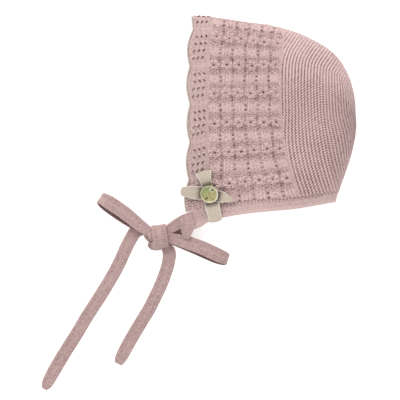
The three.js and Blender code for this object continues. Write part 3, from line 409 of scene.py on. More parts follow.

# %% [markdown]
# A knitted wall has a richly stitched outside and a plain inside that hardly shows. A Solidify
# modifier would give the inside every stitch again, at twice the faces. Here the inside is a much
# coarser grid, stitched to the outside along its rims. Where the lower half lies on the table its
# stitches are pressed flat.

# %% A cloth wall
# The even painted shade of a wall's inner face, which lies in the shade inside the bonnet.
INSIDE_PAINTED_SHADE = 0.35


def resting(z):
    return 1 - smooth((FOLD_LEVEL * 0.6 - z) / (FOLD_LEVEL * 0.5))


def thinned(count, step):
    return np.unique(np.r_[np.arange(0, count, step), count - 1])


def cloth_wall(name, base, wall, relief, where, painted_shade, steps=(6, 6), welded_from=None):
    normals = normals_of(base)
    if welded_from is not None:
        both = unit(normals[welded_from:, 0] + normals[welded_from:, -1])
        normals[welded_from:, 0] = both
        normals[welded_from:, -1] = both
    middle = base.shape[1] // 2
    if normals[base.shape[0] // 3, middle // 2][2] < 0:
        normals = -normals
    outer = base + normals * (relief * resting(base[..., 2]))[..., None]
    outer[..., 2] = np.maximum(outer[..., 2], 0)
    rows = thinned(base.shape[0], steps[0])
    columns = thinned(base.shape[1], steps[1])
    if welded_from is not None:
        rows = np.unique(np.r_[rows, welded_from])
    inner = (base - normals * wall)[np.ix_(rows, columns)]
    index = np.arange(outer[..., 0].size).reshape(outer.shape[:2])
    inside = np.arange(inner[..., 0].size).reshape(inner.shape[:2]) + index.size
    weld_row = len(base) - 1
    if welded_from is not None:
        index[welded_from:, -1] = index[welded_from:, 0]
        inside[rows >= welded_from, -1] = inside[rows >= welded_from, 0]
        index[-1, :] = index[-1, 0]
        inside[-1, :] = inside[-1, 0]
        weld_row = welded_from
    faces = [grid_faces(index), grid_faces(inside)[:, ::-1]]
    open_rows = np.arange(weld_row + 1)
    open_inner = rows <= weld_row
    ends = [(0, False)] + ([(-1, True)] if welded_from is None else [])
    for row, flip in ends:
        rim = rim_faces(index[row], np.arange(index.shape[1]), inside[row], columns)
        faces.append(rim[:, ::-1] if flip else rim)
    for column, flip in ((0, True), (-1, False)):
        edge = index[open_rows, column]
        rim = rim_faces(edge, open_rows, inside[open_inner, column], rows[open_inner])
        faces.append(rim[:, ::-1] if flip else rim)
    points = np.concatenate([outer.reshape(-1, 3), inner.reshape(-1, 3)])
    flow = np.concatenate([where.reshape(-1, 2), where[np.ix_(rows, columns)].reshape(-1, 2)])
    # depth holds the painted shade of the outer points and of the inner face.
    depth = np.concatenate([painted_shade.ravel(), np.full(len(rows) * len(columns), INSIDE_PAINTED_SHADE)])
    faces = facing_out(faces, base, normals)
    area = np.linalg.norm(np.cross(np.diff(base, axis=0)[:, 1:], np.diff(base, axis=1)[1:]), axis=-1)
    print(f"{name}: the cloth covers {area.sum() / 100:.1f} square centimetres")
    return add_object(name, points, faces, flow, depth)

# %% [markdown]
# A finish is a small network of nodes. A picture of knitting could be laid on instead, but it would be
# flat and would show its edges. Noise that is worked out in space has the same grain from all sides.
# These helpers add one node each, so that a finish can be read from top to bottom.

# %% Helpers for finishes
BUMP_DEPTH = 0.0002


def new_finish(name):
    material = bpy.data.materials.new(name)
    material.use_nodes = True
    tree = material.node_tree
    tree.nodes.clear()
    surface = tree.nodes.new("ShaderNodeBsdfPrincipled")
    output = tree.nodes.new("ShaderNodeOutputMaterial")
    tree.links.new(surface.outputs[0], output.inputs[0])
    return material, tree, surface


def feed(tree, node, inputs):
    """Sets inputs by name or number. A value that comes from another node is linked."""
    for name, value in inputs.items():
        if isinstance(value, bpy.types.NodeSocket):
            tree.links.new(value, node.inputs[name])
        else:
            node.inputs[name].default_value = value


def add_node(tree, kind, inputs):
    node = tree.nodes.new("ShaderNode" + kind)
    feed(tree, node, inputs)
    return node


def calculate(tree, value, *steps):
    """Takes a value through steps such as ("ADD", 1), one Math node each."""
    for operation, *numbers in steps:
        node = add_node(tree, "Math", dict(enumerate([value, *numbers])))
        node.operation = operation
        value = node.outputs[0]
    return value


def attribute(tree, label):
    node = add_node(tree, "Attribute", {})
    node.attribute_name = label
    return node.outputs["Fac"]


def object_place(tree):
    return add_node(tree, "TexCoord", {}).outputs["Object"]


def stitch_place(tree):
    """Where a point is in the knitting: millimetres across and along."""
    node = add_node(tree, "UVMap", {})
    node.uv_map = "stitches"
    return add_node(tree, "SeparateXYZ", {0: node.outputs[0]}).outputs[:2]


def noise(tree, place, scale, detail, distortion=0.0):
    inputs = {"Vector": place, "Scale": scale, "Detail": detail, "Distortion": distortion}
    return add_node(tree, "TexNoise", inputs).outputs[0]


def colours(tree, shade, stops, smoothing="LINEAR"):
    ramp = add_node(tree, "ValToRGB", {0: shade})
    ramp.color_ramp.interpolation = smoothing
    while len(ramp.color_ramp.elements) < len(stops):
        ramp.color_ramp.elements.new(0.5)
    for element, (position, colour) in zip(ramp.color_ramp.elements, stops):
        element.position = position
        element.color = (*colour, 1)
    return ramp.outputs[0]


def blend(tree, share, first, second):
    node = add_node(tree, "Mix", {0: share})
    node.data_type = "RGBA"
    feed(tree, node, {6: first, 7: second})
    return node.outputs[2]


def between(tree, value, low, high):
    return add_node(tree, "MapRange", {"Value": value, "To Min": low, "To Max": high}).outputs[0]


def bump(tree, height, strength, depth=BUMP_DEPTH, over=None):
    inputs = {"Height": height, "Strength": strength, "Distance": depth}
    if over is not None:
        inputs["Normal"] = over
    return add_node(tree, "Bump", inputs).outputs[0]

# %% [markdown]
# The yarn is soft wool with a dusty dye. Its finish has four scales: slow drifts of colour from the
# dye, tufts as wide as a stitch, fine fibres, and the legs of the stitches as fine bump on top of the
# modelled height. The painted shade that each point carries makes the yarn darker and browner down
# between the stitches, standing in for the shade there and the light that bounces from wool to wool.

# %% A finish for knitted yarn
DRIFT, TUFT, FIBRE = (55, 3), (620, 2), (1900, 4)  # scale and detail of each noise
DRIFT_SHARE, TUFT_SHARE, FIBRE_SHARE = 0.3, 0.8, 0.42


def stitch_legs(tree, width, length):
    """Height of V-shaped stitch legs."""
    across, along = stitch_place(tree)
    slant = calculate(tree, across, ("DIVIDE", width), ("FRACT",), ("SUBTRACT", 0.5), ("ABSOLUTE",))
    turns = calculate(tree, along, ("DIVIDE", length), ("ADD", slant))
    legs = calculate(tree, turns, ("MULTIPLY", 2 * math.pi), ("SINE",))
    return calculate(tree, slant, ("MULTIPLY", 2), ("ADD", legs))


def yarn_finish(name, pale, deep, stitch=(1.5, 1.3), legs=0.5, fuzz=0.35):
    material, tree, surface = new_finish(name)
    place = object_place(tree)
    # The ramp is driven by each point's painted shade, plus real colour drifts, tufts and fibres; deep is
    # the colour at full painted shade.
    shade = attribute(tree, "painted_shade")
    fibre = noise(tree, place, *FIBRE)
    grains = [(fibre, FIBRE_SHARE)]
    grains += [(noise(tree, place, *DRIFT), DRIFT_SHARE), (noise(tree, place, *TUFT), TUFT_SHARE)]
    for grain, share in grains:
        part = calculate(tree, grain, ("SUBTRACT", 0.5), ("MULTIPLY", share))
        shade = calculate(tree, shade, ("ADD", part))
    leg_bump = bump(tree, stitch_legs(tree, *stitch), legs)
    feed(tree, surface, {
        "Base Color": colours(tree, shade, [(0, pale), (1, deep)], "EASE"),
        "Normal": bump(tree, fibre, fuzz, over=leg_bump),
        "Roughness": between(tree, fibre, 0.8, 1.0),
        "Sheen Weight": 0.12,
        "Sheen Roughness": 0.6,
        "Specular IOR Level": 0.2,
    })
    return material


# The second colour of each yarn is the one it takes where its painted shade is deepest.
ROSE_PALE, ROSE_IN_PAINTED_SHADE = (0.775, 0.56, 0.54), (0.19, 0.09, 0.085)
PLAIN_PALE = (0.75, 0.545, 0.52)
TIE_PALE, TIE_IN_PAINTED_SHADE = (0.645, 0.45, 0.43), (0.15, 0.075, 0.07)
panel_yarn = yarn_finish("rose_knit_yarn", ROSE_PALE, ROSE_IN_PAINTED_SHADE, legs=0.7)
plain_yarn = yarn_finish("rose_plain_yarn", PLAIN_PALE, ROSE_IN_PAINTED_SHADE, stitch=(1.5, 1.2), legs=0.9)
tie_yarn = yarn_finish("rose_tie_yarn", TIE_PALE, TIE_IN_PAINTED_SHADE, stitch=(1.4, 1.2), legs=0.9)
print("yarns:", panel_yarn.name, plain_yarn.name, tie_yarn.name)


def dress(piece, material, slot, *nodes):
    piece.data.materials.append(material)
    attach(piece, "root")
    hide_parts(*nodes)

# %% [markdown]
# The front panel is a lace-like pattern of small stars, each with short petals round a pierced hole,
# and rows of ribbed blocks between them. Six columns stand side by side, and the rows fan from the
# fold to the neck. The loops could be modelled as yarn, at millions of faces. A sum of soft bumps and
# pits, at the places where the needle makes them, gives the same light and shade on one surface. A
# little chance in each star keeps them from looking stamped.

# %% The star pattern's height
STAR_ROWS = [  # height as a share, number of the star row from the fold, rise for each mm to the back
    (0.188, 5, 0.09), (0.338, 4, 0.06), (0.4755, 3, 0.025), (0.62, 2, 0), (0.755, 1, 0),
    (0.879, 0, -0.11), (0.946, -0.5, -0.13), (0.995, -1, -0.15),
]
STITCH_WIDTH, STITCH_HEIGHT = STAR_WIDTH / 6, STAR_PITCH / round(STAR_PITCH / 1.6)
HOLE_GAP, RIB_PITCH = 1.6, STAR_WIDTH / 4
PETALS, PETAL_REACH, PETAL_SPREAD = 6, 2.9, 1.6
HOLE_SPREAD, HALO_REACH, HALO_SPREAD = 0.75, 4.9, 0.95
BLOCK_SPREAD, RIB_SPREAD, EYE_REACH = 3.0, 2.8, 1.6
PIT_SPREAD, GROOVE_LEVEL, LOW_LEVEL = 0.68, 4.6, 5.8


def star_number(x, y):
    from_middle = x - (lace_x(y) + seam_x(y)) / 2
    level = y
    for _ in range(6):
        level = y - read_table(STAR_ROWS, level / HEIGHT, 2) * from_middle
    return read_table(STAR_ROWS, level / HEIGHT, 1)


def chance(first, second, kind):
    """A number from 0 to 1 that belongs to one place in the pattern."""
    return np.abs(np.sin(first * 12.99 + second * 78.23 + kind * 37.7) * 43758.5) % 1


def star_part(a, b, row, column):
    """Petals, the hole and the hollow round them, and how far each point is from the star."""
    star_a = a + 0.9 * chance(row, column, 1) - 0.45
    star_b = b + 1.2 * chance(row, column, 2) - 0.6
    away = np.hypot(star_a, star_b * 1.15)
    turn = np.arctan2(star_b, star_a) + 0.25 * np.sin(2.6 * away + 9 * chance(row, column, 9))
    spokes = 0.5 + 0.5 * np.cos(PETALS * turn + 6 * chance(row, column, 3))
    petals = bell(away - PETAL_REACH, PETAL_SPREAD) * (1.45 * spokes - 0.12)
    petals = petals * (0.9 + 0.5 * chance(row, column, 8))
    deep = 1.1 + 1.2 * chance(row, column, 4)
    hole = deep * bell(np.hypot(star_a, star_b * 1.3), HOLE_SPREAD)
    edge = STAR_WIDTH / 2 - np.abs(a)
    halo = 0.6 * bell(away - HALO_REACH, HALO_SPREAD) * (0.45 + 0.55 * smooth(b / 4))
    return petals - hole - halo * (1 - 0.5 * smooth(edge / 4)), away


def block_part(a, b, row, column):
    """The ribbed block between two stars, its eye, and the pits and grooves at its sides."""
    edge = STAR_WIDTH / 2 - np.abs(a)
    level = STAR_PITCH / 2 - np.abs(b)
    block_row = row + np.sign(b) / 2
    border = column + (a > 0)
    to_block = level - 0.6 * np.sin(2 * np.pi * a / STAR_WIDTH + 9 * chance(block_row, column, 10))
    block = 0.34 * bell(to_block, BLOCK_SPREAD) * (0.4 + 0.6 * smooth(edge / 1.3))
    ribs = (0.12 + 0.3 * chance(block_row, column, 11)) * bell(to_block, RIB_SPREAD)
    ribs = ribs * wave(a / RIB_PITCH) * smooth(edge / 1.5)
    eye = np.hypot(a, level)
    ringed = smooth(3 * chance(block_row, column, 6) - 1)
    ring = ringed * (0.3 * bell(eye - EYE_REACH, 0.55) - 0.9 * bell(eye, 0.6))
    pits = 0.8 + 1.1 * chance(block_row, border, 5)
    pits = pits * bell(np.hypot(edge, level - HOLE_GAP), PIT_SPREAD)
    groove = (0.25 + 0.6 * chance(row, border, 7)) * bell(edge, 0.8)
    return block + ribs + ring - pits - groove * bell(np.abs(b) - GROOVE_LEVEL, 2.0)


def star_relief(a, b, row, column):
    """a: mm from the column's middle, b: mm below the star row."""
    star, away = star_part(a, b, row, column)
    shift = 9 * chance(row, column, 12)
    mottle = np.sin(3 * a + shift) + np.sin(1.5 * a + 2.6 * b) + np.sin(1.5 * a - 2.6 * b + shift)
    low = (0.17 + 0.11 * mottle) * bell(np.abs(b) - LOW_LEVEL, 2.4)
    low = low * (1 - 0.85 * bell(away, 4.8)) + 0.04 * mottle
    across = np.abs(a / STITCH_WIDTH % 1 - 0.5)
    legs = 0.2 * wave(b / STITCH_HEIGHT + across) + 0.1 * np.cos(4 * np.pi * across)
    return star + block_part(a, b, row, column) - low + legs

# %% The front panel
COLUMNS, PANEL_POINTS = 6, 139
PANEL_STEP, FAR_STEP, FINE_STEP = 0.44, 0.95, 0.42  # mm between the points of a row
middle_line = upright_plan(lace_x, seam_x, [0.5])
near_length = length_over(middle_line, upper_height)
far_length = length_over(middle_line, lower_height)
near_shares = shares_at(near_length, PANEL_STEP)
far_shares = shares_at(far_length, FAR_STEP)
run_along = np.r_[near_shares[::-1] * near_length, far_shares[1:] * far_length]
front_shares = np.linspace(0, 1, PANEL_POINTS)
front_plan = upright_plan(
    lambda y: lace_x(y) + JOIN_GAP / 2, lambda y: seam_x(y) - JOIN_GAP / 2, front_shares
)
front_base = whole_rows(front_plan, near_shares, far_shares)
column_place = (front_shares * COLUMNS)[:, None]
wander = 0.55 * np.sin(run_along[None, :] / 5 + 5 * column_place / COLUMNS)
near_rows = star_number(front_base[:, : len(near_shares), 0], front_base[:, : len(near_shares), 1])
far_rows = near_rows[:, -1:] - far_shares[None, 1:] * far_length / STAR_PITCH
star_place = np.concatenate([near_rows, far_rows], 1)
star_row = np.round(star_place)
below_star = (star_place - star_row) * STAR_PITCH
wandering = column_place + wander / STAR_WIDTH
column_number = np.clip(np.floor(wandering), 0, COLUMNS - 1)
from_middle = (wandering - column_number - 0.5) * STAR_WIDTH
dashes = smooth(1.4 * np.sin(2 * np.pi * column_place * 1.5) + 0.6)
print("star rows from", star_row.min(), "to", star_row.max(), "in", COLUMNS, "columns")

# %% The panel's height and painted shade
front_relief = star_relief(from_middle, below_star, star_row, column_number)
front_relief = front_relief - 0.7 * dashes * bell((star_place + 0.37) * STAR_PITCH, 0.7)
from_side = np.minimum(front_shares, 1 - front_shares)[:, None] * COLUMNS * STAR_WIDTH
to_seam = (1 - front_shares)[:, None] * COLUMNS * STAR_WIDTH
front_relief = front_relief * smooth(from_side / 1.6) * smooth((to_seam - 1.2) / 2.2)
front_relief += 0.22 * (1 - smooth(from_side / 1.6))
# Painted shade: the knit is drawn darker where it sinks, where the shade between the stitches falls.
front_painted_shade = np.clip(0.37 - 0.5 * front_relief, 0, 1)
front_where = np.stack(np.broadcast_arrays(column_place * STAR_WIDTH, run_along[None, :]), -1)
front = cloth_wall(
    "front_star_knit", front_base, FRONT_WALL, front_relief - 0.25, front_where, front_painted_shade
)
dress(front, panel_yarn, "rose_knit", "front_panel")

# %% [markdown]
# The crown is garter stitch worked sideways: ridges run up from the neck band, and above the mitre
# they lean back to meet the fold squarely. Seen close, each ridge is a line of interlocked loops, so
# the furrows between ridges zigzag. Where the cloth is stretched over the top the zigzag is pulled
# straight. Past the nape the ridges close up to rings that shrink to a point in the fold.

# %% The ridges of the crown
POLE_Y, POLE_X, MITRE_SOFTNESS = 0.49 * HEIGHT, 0.997 * DEPTH, 3
RIDGE_SAMPLES, GARTER_STITCH = 6, 2.3
CROWN_NEAR, CROWN_FAR = 132, 120  # mm of a row over each half
ridge_reach = POLE_X - float(seam_x(POLE_Y))


def ridge_line(back):
    back = np.asarray(back, float)[:, None]

    def line_x(y):
        over = y - read_table(MITRE, back, 1) * HEIGHT
        bent = (over + np.hypot(over, MITRE_SOFTNESS)) / 2
        start = JOIN_GAP / 2 + back * (ridge_reach - JOIN_GAP / 2)
        return seam_x(y) + start + read_table(MITRE, back, 2) * bent * smooth(back / 0.3)

    return line_x


def find_nape():
    """The share of the crown's depth where the ridges stop meeting the band."""
    near, far = 0.0, 1.0
    for _ in range(30):
        back = (near + far) / 2
        line_x = ridge_line([back])
        y = meet_band(line_x, 1)
        if fold_distance(line_x(y), y)[0, 0] > 0:
            near = back
        else:
            far = back
    return near


nape = find_nape()
to_nape = round(nape * ridge_reach / GARTER_PITCH)
to_pole = round((1 - nape) * ridge_reach / GARTER_PITCH)
before_nape = np.linspace(0, nape, to_nape * RIDGE_SAMPLES + 1)
past_nape = np.linspace(nape, 1, to_pole * RIDGE_SAMPLES + 1)[1:-1]
backs = np.r_[before_nape, past_nape]
weld_from = len(before_nape) - 1
lines = ridge_line(backs)
open_low = meet_band(lines, len(backs))
high_end = meet_fold(lines, np.full((len(backs), 1), POLE_Y), HEIGHT * 1.03)
closed_low = meet_fold(lines, np.full((len(backs), 1), POLE_Y), open_low - BAND_WIDTH / 2)
past = (np.arange(len(backs)) >= weld_from)[:, None]
low_end = np.where(past, closed_low, open_low)
print("lines of the crown:", len(backs), "closed to rings from", weld_from)

# %% The crown
def crown_plan(t):
    y = mix(high_end, low_end, t)
    return lines(y), y


near_crown = shares_at(CROWN_NEAR, FINE_STEP)
far_crown = shares_at(CROWN_FAR, FAR_STEP)
crown_base = whole_rows(crown_plan, near_crown, far_crown)
joined_end = (crown_base[weld_from:, 0] + crown_base[weld_from:, -1]) / 2
crown_base[weld_from:, 0] = joined_end
crown_base[weld_from:, -1] = joined_end
pole = (crown_base[-1, len(near_crown) - 1] + crown_base[-1, 0]) / 2
crown_base = np.concatenate([crown_base, np.broadcast_to(pole, (1, *crown_base.shape[1:]))])
print("crown grid:", crown_base.shape[0], "by", crown_base.shape[1], "points")

# %% Where each ridge runs
row_steps = np.diff(crown_base, axis=0)
tangents = unit(np.gradient(crown_base, axis=1))
apart = np.linalg.norm(np.cross(row_steps, tangents[:-1]), axis=-1)
crown_y = crown_base[..., 1] / HEIGHT
local_pitch = GARTER_PITCH * (1 + 0.16 * smooth((0.55 - crown_y) / 0.22))
counted = np.concatenate([np.zeros((1, apart.shape[1])), np.cumsum(apart / local_pitch[:-1], 0)])
plain_phase = np.arange(len(crown_base))[:, None] / RIDGE_SAMPLES
anchor = int(0.42 * len(crown_base))
even_phase = plain_phase[anchor] + counted - counted[anchor]
past_fold = np.arange(crown_base.shape[1])[None, :] - len(near_crown)
ridge_phase = mix(even_phase, plain_phase, smooth(past_fold / 25))
crown_run = length_so_far(crown_base[:1])
crown_run = crown_run - crown_run[:, len(near_crown) - 1 : len(near_crown)]
beat = crown_run / GARTER_STITCH
sway = np.abs((beat % 1) - 0.5) * 4 - 1
print("ridges:", round(float(ridge_phase.max()), 1))

# %% The crown's height and painted shade
mitre_at = read_table(MITRE, plain_phase * GARTER_PITCH / ridge_reach, 1)
lively = 1 - 0.85 * smooth((crown_y - mitre_at) / 0.06 + 1.9)
phase = ridge_phase + 0.26 * sway * lively
ridge = 0.5 - 0.5 * wave(phase)
knots = wave(beat + 0.25 * np.sin(2 * np.pi * ridge_phase)) * lively
toward_fold = smooth(np.maximum(fold_distance(crown_base[..., 0], crown_base[..., 1]), 0) / 9)
# The relief and its painted shade are weaker towards the outline.
contrast = (0.62 + 0.38 * lively) * mix(0.4, 1, toward_fold)
crown_relief = GARTER_RELIEF * contrast * (ridge**0.8 * 1.1 + 0.22 * knots * ridge)
# Painted shade: darker in the furrows between the ridges, where shade falls.
crown_painted_shade = np.clip(0.34 + contrast * (0.56 - 1.15 * ridge - 0.18 * knots), 0, 1)
crown_where = np.stack(np.broadcast_arrays(ridge_phase * GARTER_PITCH, crown_run), -1)
crown = cloth_wall(
    "crown_garter_knit", crown_base, BACK_WALL, crown_relief - 0.15, crown_where,
    crown_painted_shade, (RIDGE_SAMPLES, 6), weld_from,
)
dress(crown, panel_yarn, "rose_knit", "back_panel")

# %% [markdown]
# The neck band is plain knitting, picked up along the neck and cast off loosely, so that its lower
# edge rolls a little. Along its top the picked-up stitches leave a line of small holes.

# %% The neck band
BAND_NEAR, BAND_FAR, BAND_FAR_STEP = 116, 112, 0.8
BAND_RIB, BAND_STITCH, PICKED_PITCH = 1.55, 2.1, 2.9


def band_plan(share_down):
    def at(x):
        return x, mix(band_top_y(x) - JOIN_GAP / 2, band_low_y(x), share_down)

    inside = np.full_like(share_down, DEPTH / 2)
    outside = np.full_like(share_down, DEPTH)
    back = edge_between(lambda x: fold_distance(*at(x)) > 0, inside, outside)
    return lambda t: at(mix(back, BAND_START, t))


down = np.linspace(0, 1, 27)[:, None]
near_band = shares_at(BAND_NEAR, FINE_STEP)
far_band = shares_at(BAND_FAR, BAND_FAR_STEP)
band_base = whole_rows(band_plan(down), near_band, far_band)
band_run = length_so_far(band_base[:1])
band_mm = down * BAND_WIDTH
past_corner = smooth((band_run - 14) / 8)
rolled = 0.5 * bell(band_mm - BAND_WIDTH + 1.1, 1.1)
picked = past_corner * bell(band_mm - 1.0, 0.6) * (0.5 + 0.5 * wave(band_run / PICKED_PITCH)) ** 2
corner_tufts = 0.55 * tangle(band_run, band_mm) * smooth((15 - band_run) / 4) * smooth((5.5 - band_mm) / 2)
legs = 0.13 * wave(band_mm / BAND_RIB)
loops_along = 0.07 * wave(band_run / BAND_STITCH + np.abs(band_mm / BAND_RIB % 1 - 0.5))
band_relief = rolled - 1.1 * picked + legs + loops_along + corner_tufts
band_relief = band_relief - 0.3 * past_corner * bell(band_mm - 2.6, 0.7)
# Painted shade: darker where the knit sinks and in the picked-up holes.
band_painted_shade = np.clip(0.2 - 0.5 * band_relief, 0, 1)
band_where = np.stack(np.broadcast_arrays(band_mm, band_run), -1)
band = cloth_wall("neck_band_knit", band_base, BAND_WALL, band_relief, band_where, band_painted_shade, (4, 6))
dress(band, plain_yarn, "rose_knit", "neck_band")

# %% [markdown]
# The face edge is an openwork border: four rows of three eyelets in each scallop, slanting one way
# and then the other as the decreases lean. The eyelets are real holes. Cells of the grid that fall
# inside an eyelet are left out, and the points round it are moved onto its rim, so a round hole comes
# out of a square grid.

# %% The eyelets
EYELET_PITCH, EYELET_ROWS, EYELET_COLUMNS = 5.8, 4, 3
EYELET_INSET, EYELET_WIDTH, EYELET_SPACING = 2.9, 2, 3.6
EYELET_HALF_ACROSS, EYELET_HALF_ALONG = 0.72, 1.12
ROW_SHIFTS = [0.7, 1.0, 0.1, -0.7]


def eyelets(length):
    found = []
    scallop = 0
    while scallop * SCALLOP_PITCH < length + SCALLOP_PITCH / 2:
        for row in range(EYELET_ROWS):
            along = scallop * SCALLOP_PITCH + (row - (EYELET_ROWS - 1) / 2) * EYELET_PITCH
            if 0 < along < length - 3.2:
                slant = 0.8 if row < 2 else -0.9
                first = EYELET_INSET + EYELET_WIDTH / 2 + ROW_SHIFTS[row]
                found += [
                    (first + column * EYELET_SPACING, along - 0.35 * column, slant)
                    for column in range(EYELET_COLUMNS)
                ]
        scallop += 1
    return found


def lace_half(height_at, step):
    middle = upright_plan(face_x, lambda y: lace_x(y) - JOIN_GAP / 2, [0.5])
    length = length_over(middle, height_at)
    return length, shares_at(length, step)


LACE_POINTS, LACE_FAR_STEP = 36, 0.5
lace_across = np.linspace(0, 1, LACE_POINTS)
near_length, near_lace = lace_half(upper_height, FINE_STEP)
far_length, far_lace = lace_half(lower_height, LACE_FAR_STEP)
lace_plan = upright_plan(face_x, lambda y: lace_x(y) - JOIN_GAP / 2, lace_across)
lace_base = whole_rows(lace_plan, near_lace, far_lace)
lace_run = np.r_[-near_lace[::-1] * near_length, far_lace[1:] * far_length]
scallops = np.abs(np.cos(np.pi * lace_run / SCALLOP_PITCH)) - 0.5
lace_base[..., 0] -= SCALLOP_DEPTH * scallops[None, :] * (1 - lace_across[:, None]) ** 2
across_mm = lace_across[:, None] * LACE_WIDTH + 0 * lace_run[None, :]
along_mm = lace_run[None, :] + 0 * across_mm
nearest = np.full(across_mm.shape, 9.0)
pull = np.zeros(across_mm.shape + (2,))
# Under the ribbon the far half is left whole, so the table doesn't shine through both halves.
UNDER_RIBBON, TUFTED_LENGTH = 34, 22
holes = [(a, -r, slant) for a, r, slant in eyelets(near_length)]
holes += [(a, r, -slant) for a, r, slant in eyelets(far_length) if r < far_length - UNDER_RIBBON]
for middle_a, middle_r, slant in holes:
    off_r = along_mm - middle_r
    off_a = across_mm - middle_a + slant * off_r * 0.6
    radius = np.hypot(off_a / EYELET_HALF_ACROSS, off_r / EYELET_HALF_ALONG)
    closer = radius < nearest
    nearest = np.where(closer, radius, nearest)
    share = 1 / np.maximum(radius, 0.3) - 1
    move = np.stack([(across_mm - middle_a) * share, off_r * share], -1)
    pull = np.where(closer[..., None], move, pull)
centre = (nearest[:-1, :-1] + nearest[1:, :-1] + nearest[:-1, 1:] + nearest[1:, 1:]) / 4
is_open = centre < 1.0
print("eyelets:", len(holes), "open cells:", int(is_open.sum()))

# %% The lace border
# The last is the even painted shade of the border's inner face.
LACE_CORD, LACE_RIB, LACE_STITCH, LACE_INSIDE_PAINTED_SHADE = 3.7, 1.8, 1.7, 0.45
padded_open = np.pad(is_open, 1)
corner_cells = [padded_open[i : i - 1 or None, j : j - 1 or None] for i in (0, 1) for j in (0, 1)]
on_rim = np.any(corner_cells, 0) & ~np.all(corner_cells, 0)
lace_normals = normals_of(lace_base)
if lace_normals[18, 100][2] < 0:
    lace_normals = -lace_normals
per_across = np.gradient(lace_base, axis=0) / np.gradient(across_mm, axis=0)[..., None]
per_along = np.gradient(lace_base, axis=1) / np.gradient(along_mm, axis=1)[..., None]
moved = per_across * pull[..., :1] + per_along * pull[..., 1:]
lace_points = lace_base + np.where(on_rim[..., None], moved, 0)
print("points on the rims of eyelets:", int(on_rim.sum()))

# %% The border's stitches
valley = np.abs((along_mm / SCALLOP_PITCH) % 1 - 0.5) * SCALLOP_PITCH
rims = 0.5 * bell(nearest - 1.55, 0.5)
ridges = 0.35 * bell(valley, 1.3)
cords = 0.16 * wave(across_mm / LACE_CORD + 0.02 * along_mm)
rows_of_knit = 0.26 * wave(along_mm / LACE_STITCH + np.abs(across_mm / LACE_RIB % 1 - 0.5))
lace_relief = rims + ridges + cords + rows_of_knit - 0.25 * (nearest < 1.05)
# Low down, under the ribbon, the border is closed and tufted.
tufted = smooth((TUFTED_LENGTH - near_length - along_mm) / 5)
lace_relief = lace_relief + 0.6 * tufted * tangle(across_mm, along_mm)
lace_relief = lace_relief * smooth((LACE_WIDTH - across_mm) / 1.5 + 0.2)
# Painted shade: darker where the knit sinks and darker still at the rims of the eyelets, where shade falls
# into the holes.
lace_painted_shade = np.clip(0.2 - 0.6 * lace_relief + 0.75 * bell(nearest - 0.9, 0.4), 0, 1)
flat = resting(lace_base[..., 2])
lace_outer = lace_points + lace_normals * (lace_relief * flat)[..., None]
lace_outer[..., 2] = np.maximum(lace_outer[..., 2], 0)
lace_inner = lace_points - lace_normals * LACE_WALL
print("the border's stitches stand out", round(float(lace_relief.max()), 2), "mm at most")

# %% The border as an object
front_index = np.arange(across_mm.size).reshape(across_mm.shape)
back_index = front_index + across_mm.size
kept = ~is_open.ravel()
walls = [grid_faces(front_index)[kept], grid_faces(back_index)[kept][:, ::-1]]
solid = np.pad(~is_open, 1)
CELL_SIDES = [  # the cell across a side, and the side's two corners
    ((-1, 0), (0, 1), (0, 0)), ((1, 0), (1, 0), (1, 1)),
    ((0, -1), (0, 0), (1, 0)), ((0, 1), (1, 1), (0, 1)),
]
for offset, first, second in CELL_SIDES:
    beyond = np.roll(solid, (-offset[0], -offset[1]), (0, 1))[1:-1, 1:-1]
    i, j = np.nonzero(~is_open & ~beyond)
    a = (i + first[0], j + first[1])
    b = (i + second[0], j + second[1])
    walls.append(np.stack([front_index[b], front_index[a], back_index[a], back_index[b]], 1)[:, ::-1])
walls = facing_out(walls, lace_base, lace_normals)
lace_where = np.stack([across_mm, along_mm], -1).reshape(-1, 2)
lace = add_object(
    "face_lace_border",
    np.concatenate([lace_outer.reshape(-1, 3), lace_inner.reshape(-1, 3)]),
    walls,
    np.concatenate([lace_where, lace_where]),
    np.concatenate([lace_painted_shade.ravel(), np.full(lace_painted_shade.size, LACE_INSIDE_PAINTED_SHADE)]),
)
dress(lace, plain_yarn, "rose_knit", "lace_border")

# %% [markdown]
# A cream edging finishes the scallops: a fine cord caught down every few millimetres, so that it
# swells into small picots between the stitches. It is swept along the border's own edge.

# %% The picot edging
def swept(name, centres, sides, normals, radii, count, painted_shade):
    """A round tube through centres; radii may change along it."""
    turn = 2 * np.pi * np.arange(count) / count
    ring = np.cos(turn)[None, :, None] * sides[:, None] + np.sin(turn)[None, :, None] * normals[:, None]
    points = centres[:, None] + ring * radii[:, None, None]
    run = length_so_far(centres)
    where = np.stack(np.broadcast_arrays(turn[None, :] * radii.mean(), run[:, None]), -1).reshape(-1, 2)
    where = np.concatenate([where, [[0, 0], [0, run[-1]]]])
    # The painted shade of each ring; the two tips get none.
    deep = np.concatenate([np.repeat(painted_shade, count), [0, 0]])
    everything = np.concatenate([points.reshape(-1, 3), centres[:1], centres[-1:]])
    return add_object(name, everything, tube_faces(len(centres), count), where, deep)


edge = lace_base[0]
edge_out = unit(lace_base[0] - lace_base[2])
edge_normal = lace_normals[0]
EDGING_RADIUS, EDGING_SIDES, PICOT_PITCH = 0.72, 8, 2.3
picot = 0.5 - 0.5 * wave(length_so_far(edge) / PICOT_PITCH)
edging_radii = EDGING_RADIUS * (0.72 + 0.42 * picot)
edging_line = edge + edge_out * (EDGING_RADIUS * 0.95 + 0.35 * picot)[:, None]
edging_line = edging_line - edge_normal * (LACE_WALL / 2)
edging_line[:, 2] = np.maximum(edging_line[:, 2], EDGING_RADIUS)
